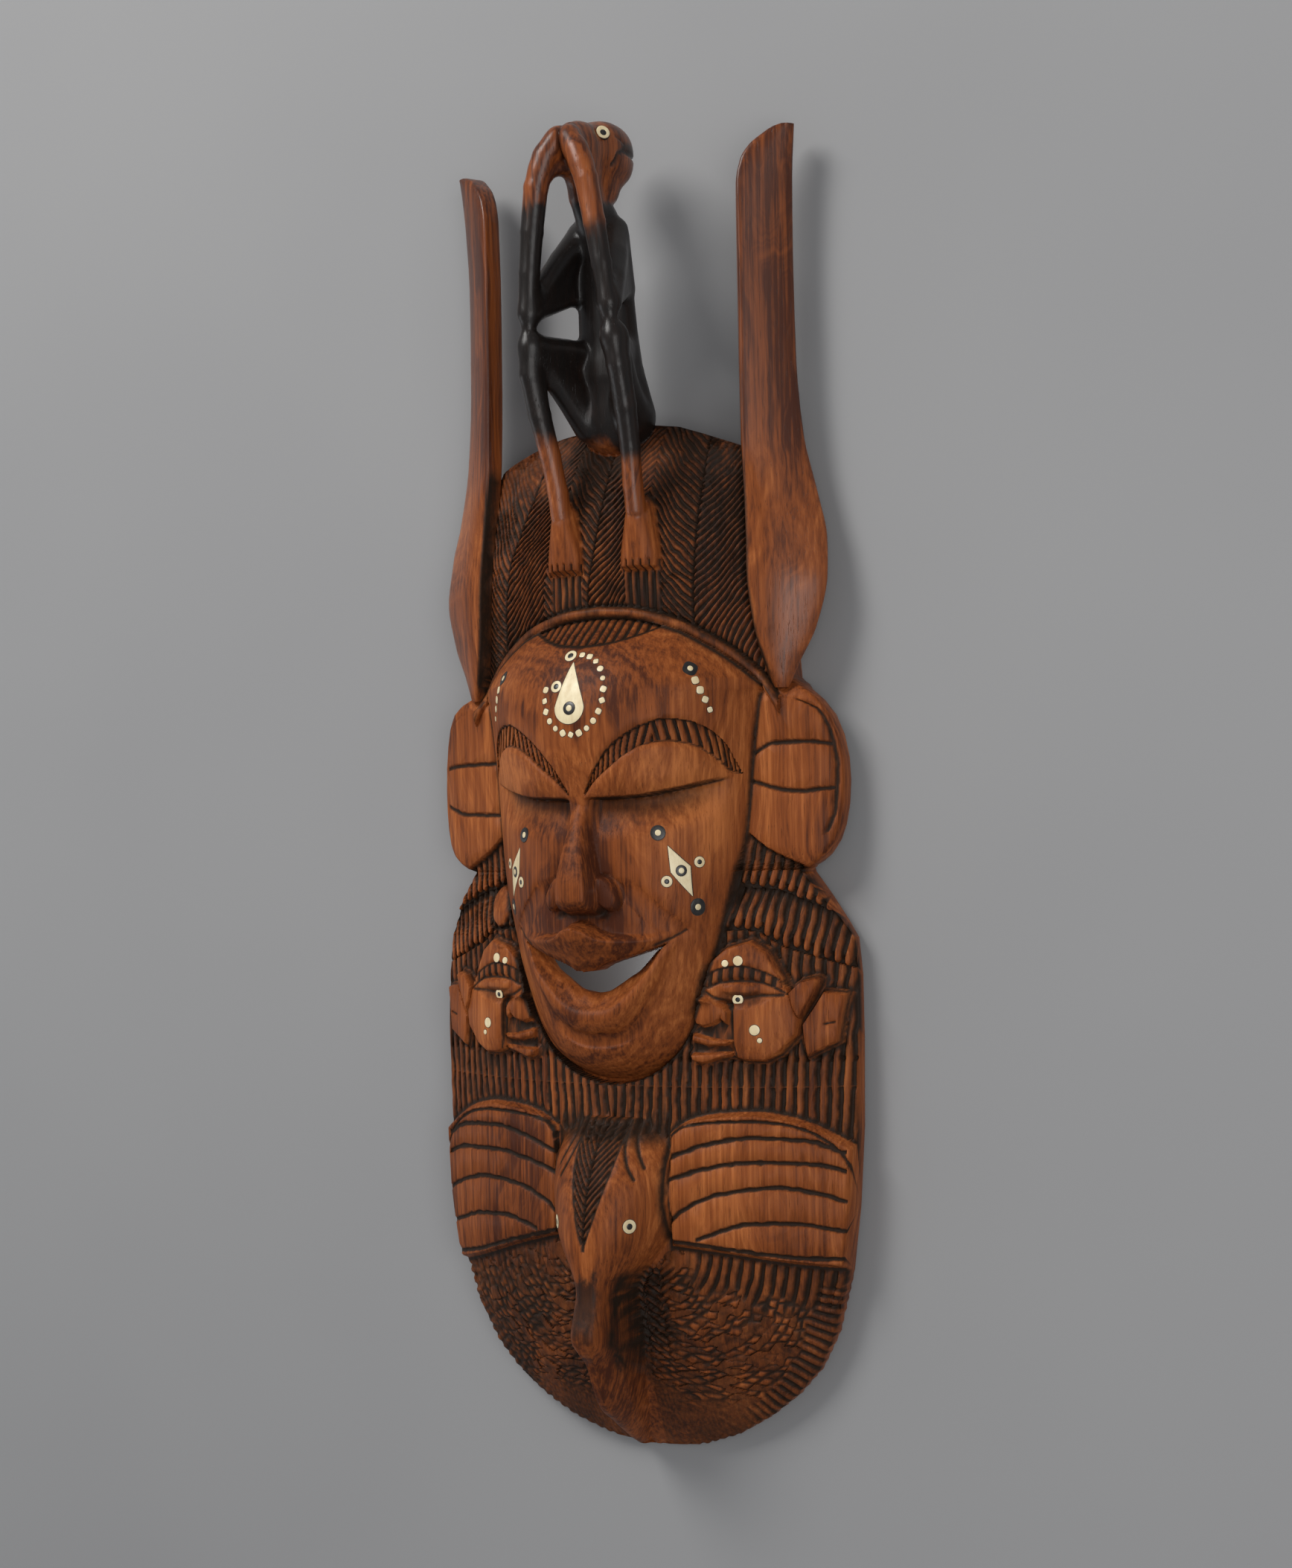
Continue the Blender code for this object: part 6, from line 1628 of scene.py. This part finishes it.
    # polish
    gloss = n.math("ADD", 0.31, n.math("MULTIPLY", n.math("SUBTRACT", fibre, 0.5), 0.18))
    gloss = n.math("ADD", gloss, n.math("MULTIPLY", pore, 0.12))
    gloss = n.math("ADD", gloss, n.math("MULTIPLY", rough, 0.18))
    gloss = n.math("ADD", gloss, n.math("MULTIPLY", hollow, 0.22))
    gloss = n.math("ADD", gloss, n.math("MULTIPLY", stain_and_shade, 0.08), clamp=True)
    n.feed(n.bsdf.inputs["Roughness"], gloss)
    n.bsdf.inputs["IOR"].default_value = 1.46
    matte = n.math("MULTIPLY", n.math("ADD", rough, n.math("MULTIPLY", ebony, 0.3)), 0.30)
    n.feed(n.bsdf.inputs["Specular IOR Level"], n.math("SUBTRACT", 0.46, matte, clamp=True))
    # grain and tool marks in the surface
    knife = n.noise(n.scaled(pos, (260.0, 130.0, 260.0), (2.0, 8.0, 1.0)), 1.0, 3.0, 0.6)
    height = n.math("ADD", n.math("MULTIPLY", fibre, 0.35), n.math("MULTIPLY", pore, -0.45))
    height = n.math("ADD", height, n.math("MULTIPLY", n.math("MULTIPLY", knife, rough), 1.6))
    bump = n.node("ShaderNodeBump")
    bump.inputs["Strength"].default_value = 0.55
    bump.inputs["Distance"].default_value = 0.00028
    n.feed(bump.inputs["Height"], height)
    n.feed(n.bsdf.inputs["Normal"], bump.outputs[0])
    return n.mat


def bone_material():
    n = Net("bone")
    pos = n.node("ShaderNodeTexCoord").outputs["Object"]
    mottle = n.noise(n.scaled(pos, (160.0, 90.0, 160.0)), 1.0, 4.0, 0.55)
    lines = n.noise(n.scaled(pos, (1100.0, 140.0, 1100.0)), 1.0, 2.0, 0.5)
    colour = n.mix(n.ramp(mottle, 0.3, 0.75), (0.84, 0.72, 0.46), (0.70, 0.55, 0.31))
    colour = n.mix(n.ramp(lines, 0.60, 0.74, 0.0, 0.35), colour, (0.42, 0.30, 0.16))
    n.feed(n.bsdf.inputs["Base Color"], colour)
    n.feed(n.bsdf.inputs["Roughness"], n.ramp(mottle, 0.2, 0.8, 0.30, 0.46))
    n.bsdf.inputs["IOR"].default_value = 1.52
    bump = n.node("ShaderNodeBump")
    bump.inputs["Strength"].default_value = 0.25
    bump.inputs["Distance"].default_value = 0.0001
    n.feed(bump.inputs["Height"], lines)
    n.feed(n.bsdf.inputs["Normal"], bump.outputs[0])
    return n.mat


def black_material():
    n = Net("black_horn")
    pos = n.node("ShaderNodeTexCoord").outputs["Object"]
    mottle = n.noise(n.scaled(pos, (300.0, 180.0, 300.0)), 1.0, 4.0, 0.6)
    colour = n.mix(n.ramp(mottle, 0.35, 0.75), (0.010, 0.0095, 0.010), (0.030, 0.026, 0.022))
    n.feed(n.bsdf.inputs["Base Color"], colour)
    n.feed(n.bsdf.inputs["Roughness"], n.ramp(mottle, 0.2, 0.8, 0.24, 0.40))
    return n.mat


def line_material():
    n = Net("dark_filler")
    pos = n.node("ShaderNodeTexCoord").outputs["Object"]
    mottle = n.noise(n.scaled(pos, (900.0, 900.0, 900.0)), 1.0, 3.0, 0.6)
    colour = n.mix(n.ramp(mottle, 0.35, 0.75), (0.018, 0.009, 0.006), (0.040, 0.018, 0.010))
    n.feed(n.bsdf.inputs["Base Color"], colour)
    n.feed(n.bsdf.inputs["Roughness"], n.ramp(mottle, 0.2, 0.8, 0.5, 0.7))
    return n.mat


def floor_material():
    n = Net("pale_floor")
    pos = n.node("ShaderNodeTexCoord").outputs["Object"]
    grain = n.noise(n.scaled(pos, (3.0, 3.0, 3.0)), 1.0, 2.0, 0.5)
    colour = n.mix(n.ramp(grain, 0.3, 0.7), (0.312, 0.312, 0.316), (0.300, 0.300, 0.305))
    n.feed(n.bsdf.inputs["Base Color"], colour)
    n.bsdf.inputs["Roughness"].default_value = 0.85
    return n.mat


# ---- stage ----------------------------------------------------------------------------
def area(name, place_, aim, size, power, colour=(1, 1, 1)):
    light = bpy.data.lights.new(name, "AREA")
    light.shape = "RECTANGLE"
    light.size, light.size_y = size
    light.energy = power
    light.color = colour
    ob = bpy.data.objects.new(name, light)
    bpy.context.scene.collection.objects.link(ob)
    ob.location = place_
    ob.rotation_euler = (Vector(aim) - Vector(place_)).to_track_quat("-Z", "Y").to_euler()
    return ob


def stage():
    me = bpy.data.meshes.new("floor")
    s = 6.0
    me.from_pydata([(-s, -s, -0.0002), (s, -s, -0.0002), (s, s, -0.0002), (-s, s, -0.0002)], [], [(0, 1, 2, 3)])
    floor = bpy.data.objects.new("floor", me)
    floor.data.materials.append(floor_material())
    bpy.context.scene.collection.objects.link(floor)
    world = bpy.data.worlds.new("studio")
    bpy.context.scene.world = world
    world.use_nodes = True
    world.node_tree.nodes["Background"].inputs[0].default_value = (0.92, 0.95, 1.0, 1.0)
    world.node_tree.nodes["Background"].inputs[1].default_value = 0.27
    area("key", (-0.85, 1.45, 1.60), (0, 0.0, 0.03), (1.0, 1.0), 34.0, (1.0, 0.985, 0.96))
    area("fill", (1.25, -0.05, 1.60), (0, -0.05, 0.03), (1.2, 1.2), 14.0, (1.0, 0.99, 0.98))
    area("side", (-1.7, -0.2, 0.55), (0, -0.05, 0.05), (0.5, 1.2), 2.5, (0.93, 0.96, 1.0))
    # a small lamp behind the mask keeps the floor seen through the mouth as pale as the rest
    area("through", (0.036, -0.100, 0.022), (-0.024, -0.102, 0.0), (0.012, 0.05), 0.035, (1.0, 1.0, 1.0)).visible_camera = False


def camera():
    theta, tilt = math.radians(28.0), math.radians(2.5)
    cam = bpy.data.cameras.new("camera")
    ob = bpy.data.objects.new("camera", cam)
    bpy.context.scene.collection.objects.link(ob)
    right = Vector((math.cos(theta), -math.sin(theta) * math.sin(tilt), -math.sin(theta) * math.cos(tilt)))
    up = Vector((0.0, math.cos(tilt), -math.sin(tilt)))
    rear = Vector((math.sin(theta), math.cos(theta) * math.sin(tilt), math.cos(theta) * math.cos(tilt)))
    at = rear * 1.350 - up * 0.064
    at.y -= Y_MIDDLE * MM
    m = Matrix((right, up, rear)).transposed().to_4x4()
    m.translation = at
    ob.matrix_world = m
    cam.sensor_fit = "VERTICAL"
    cam.sensor_height = 36.0
    cam.lens = 3080.0 * 36.0 / 2107.0
    cam.shift_x = -8.0 / 2107.0
    cam.shift_y = 157.5 / 2107.0
    cam.clip_start, cam.clip_end = 0.05, 30.0
    bpy.context.scene.camera = ob


# ---- the mask --------------------------------------------------------------------------
bpy.context.scene.view_settings.view_transform = "Standard"
bpy.context.scene.view_settings.look = "None"
camera()
stage()
wood = build_wood()
tone(wood)
wood.data.materials.clear()
wood.data.materials.append(wood_material())
to_frame(wood.data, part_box("mask"))
wood.data.shade_smooth()
wood.data.set_sharp_from_angle(angle=math.radians(62))
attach(wood, "root")
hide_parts("mask")
build_inlays([bone_material(), black_material(), line_material()])
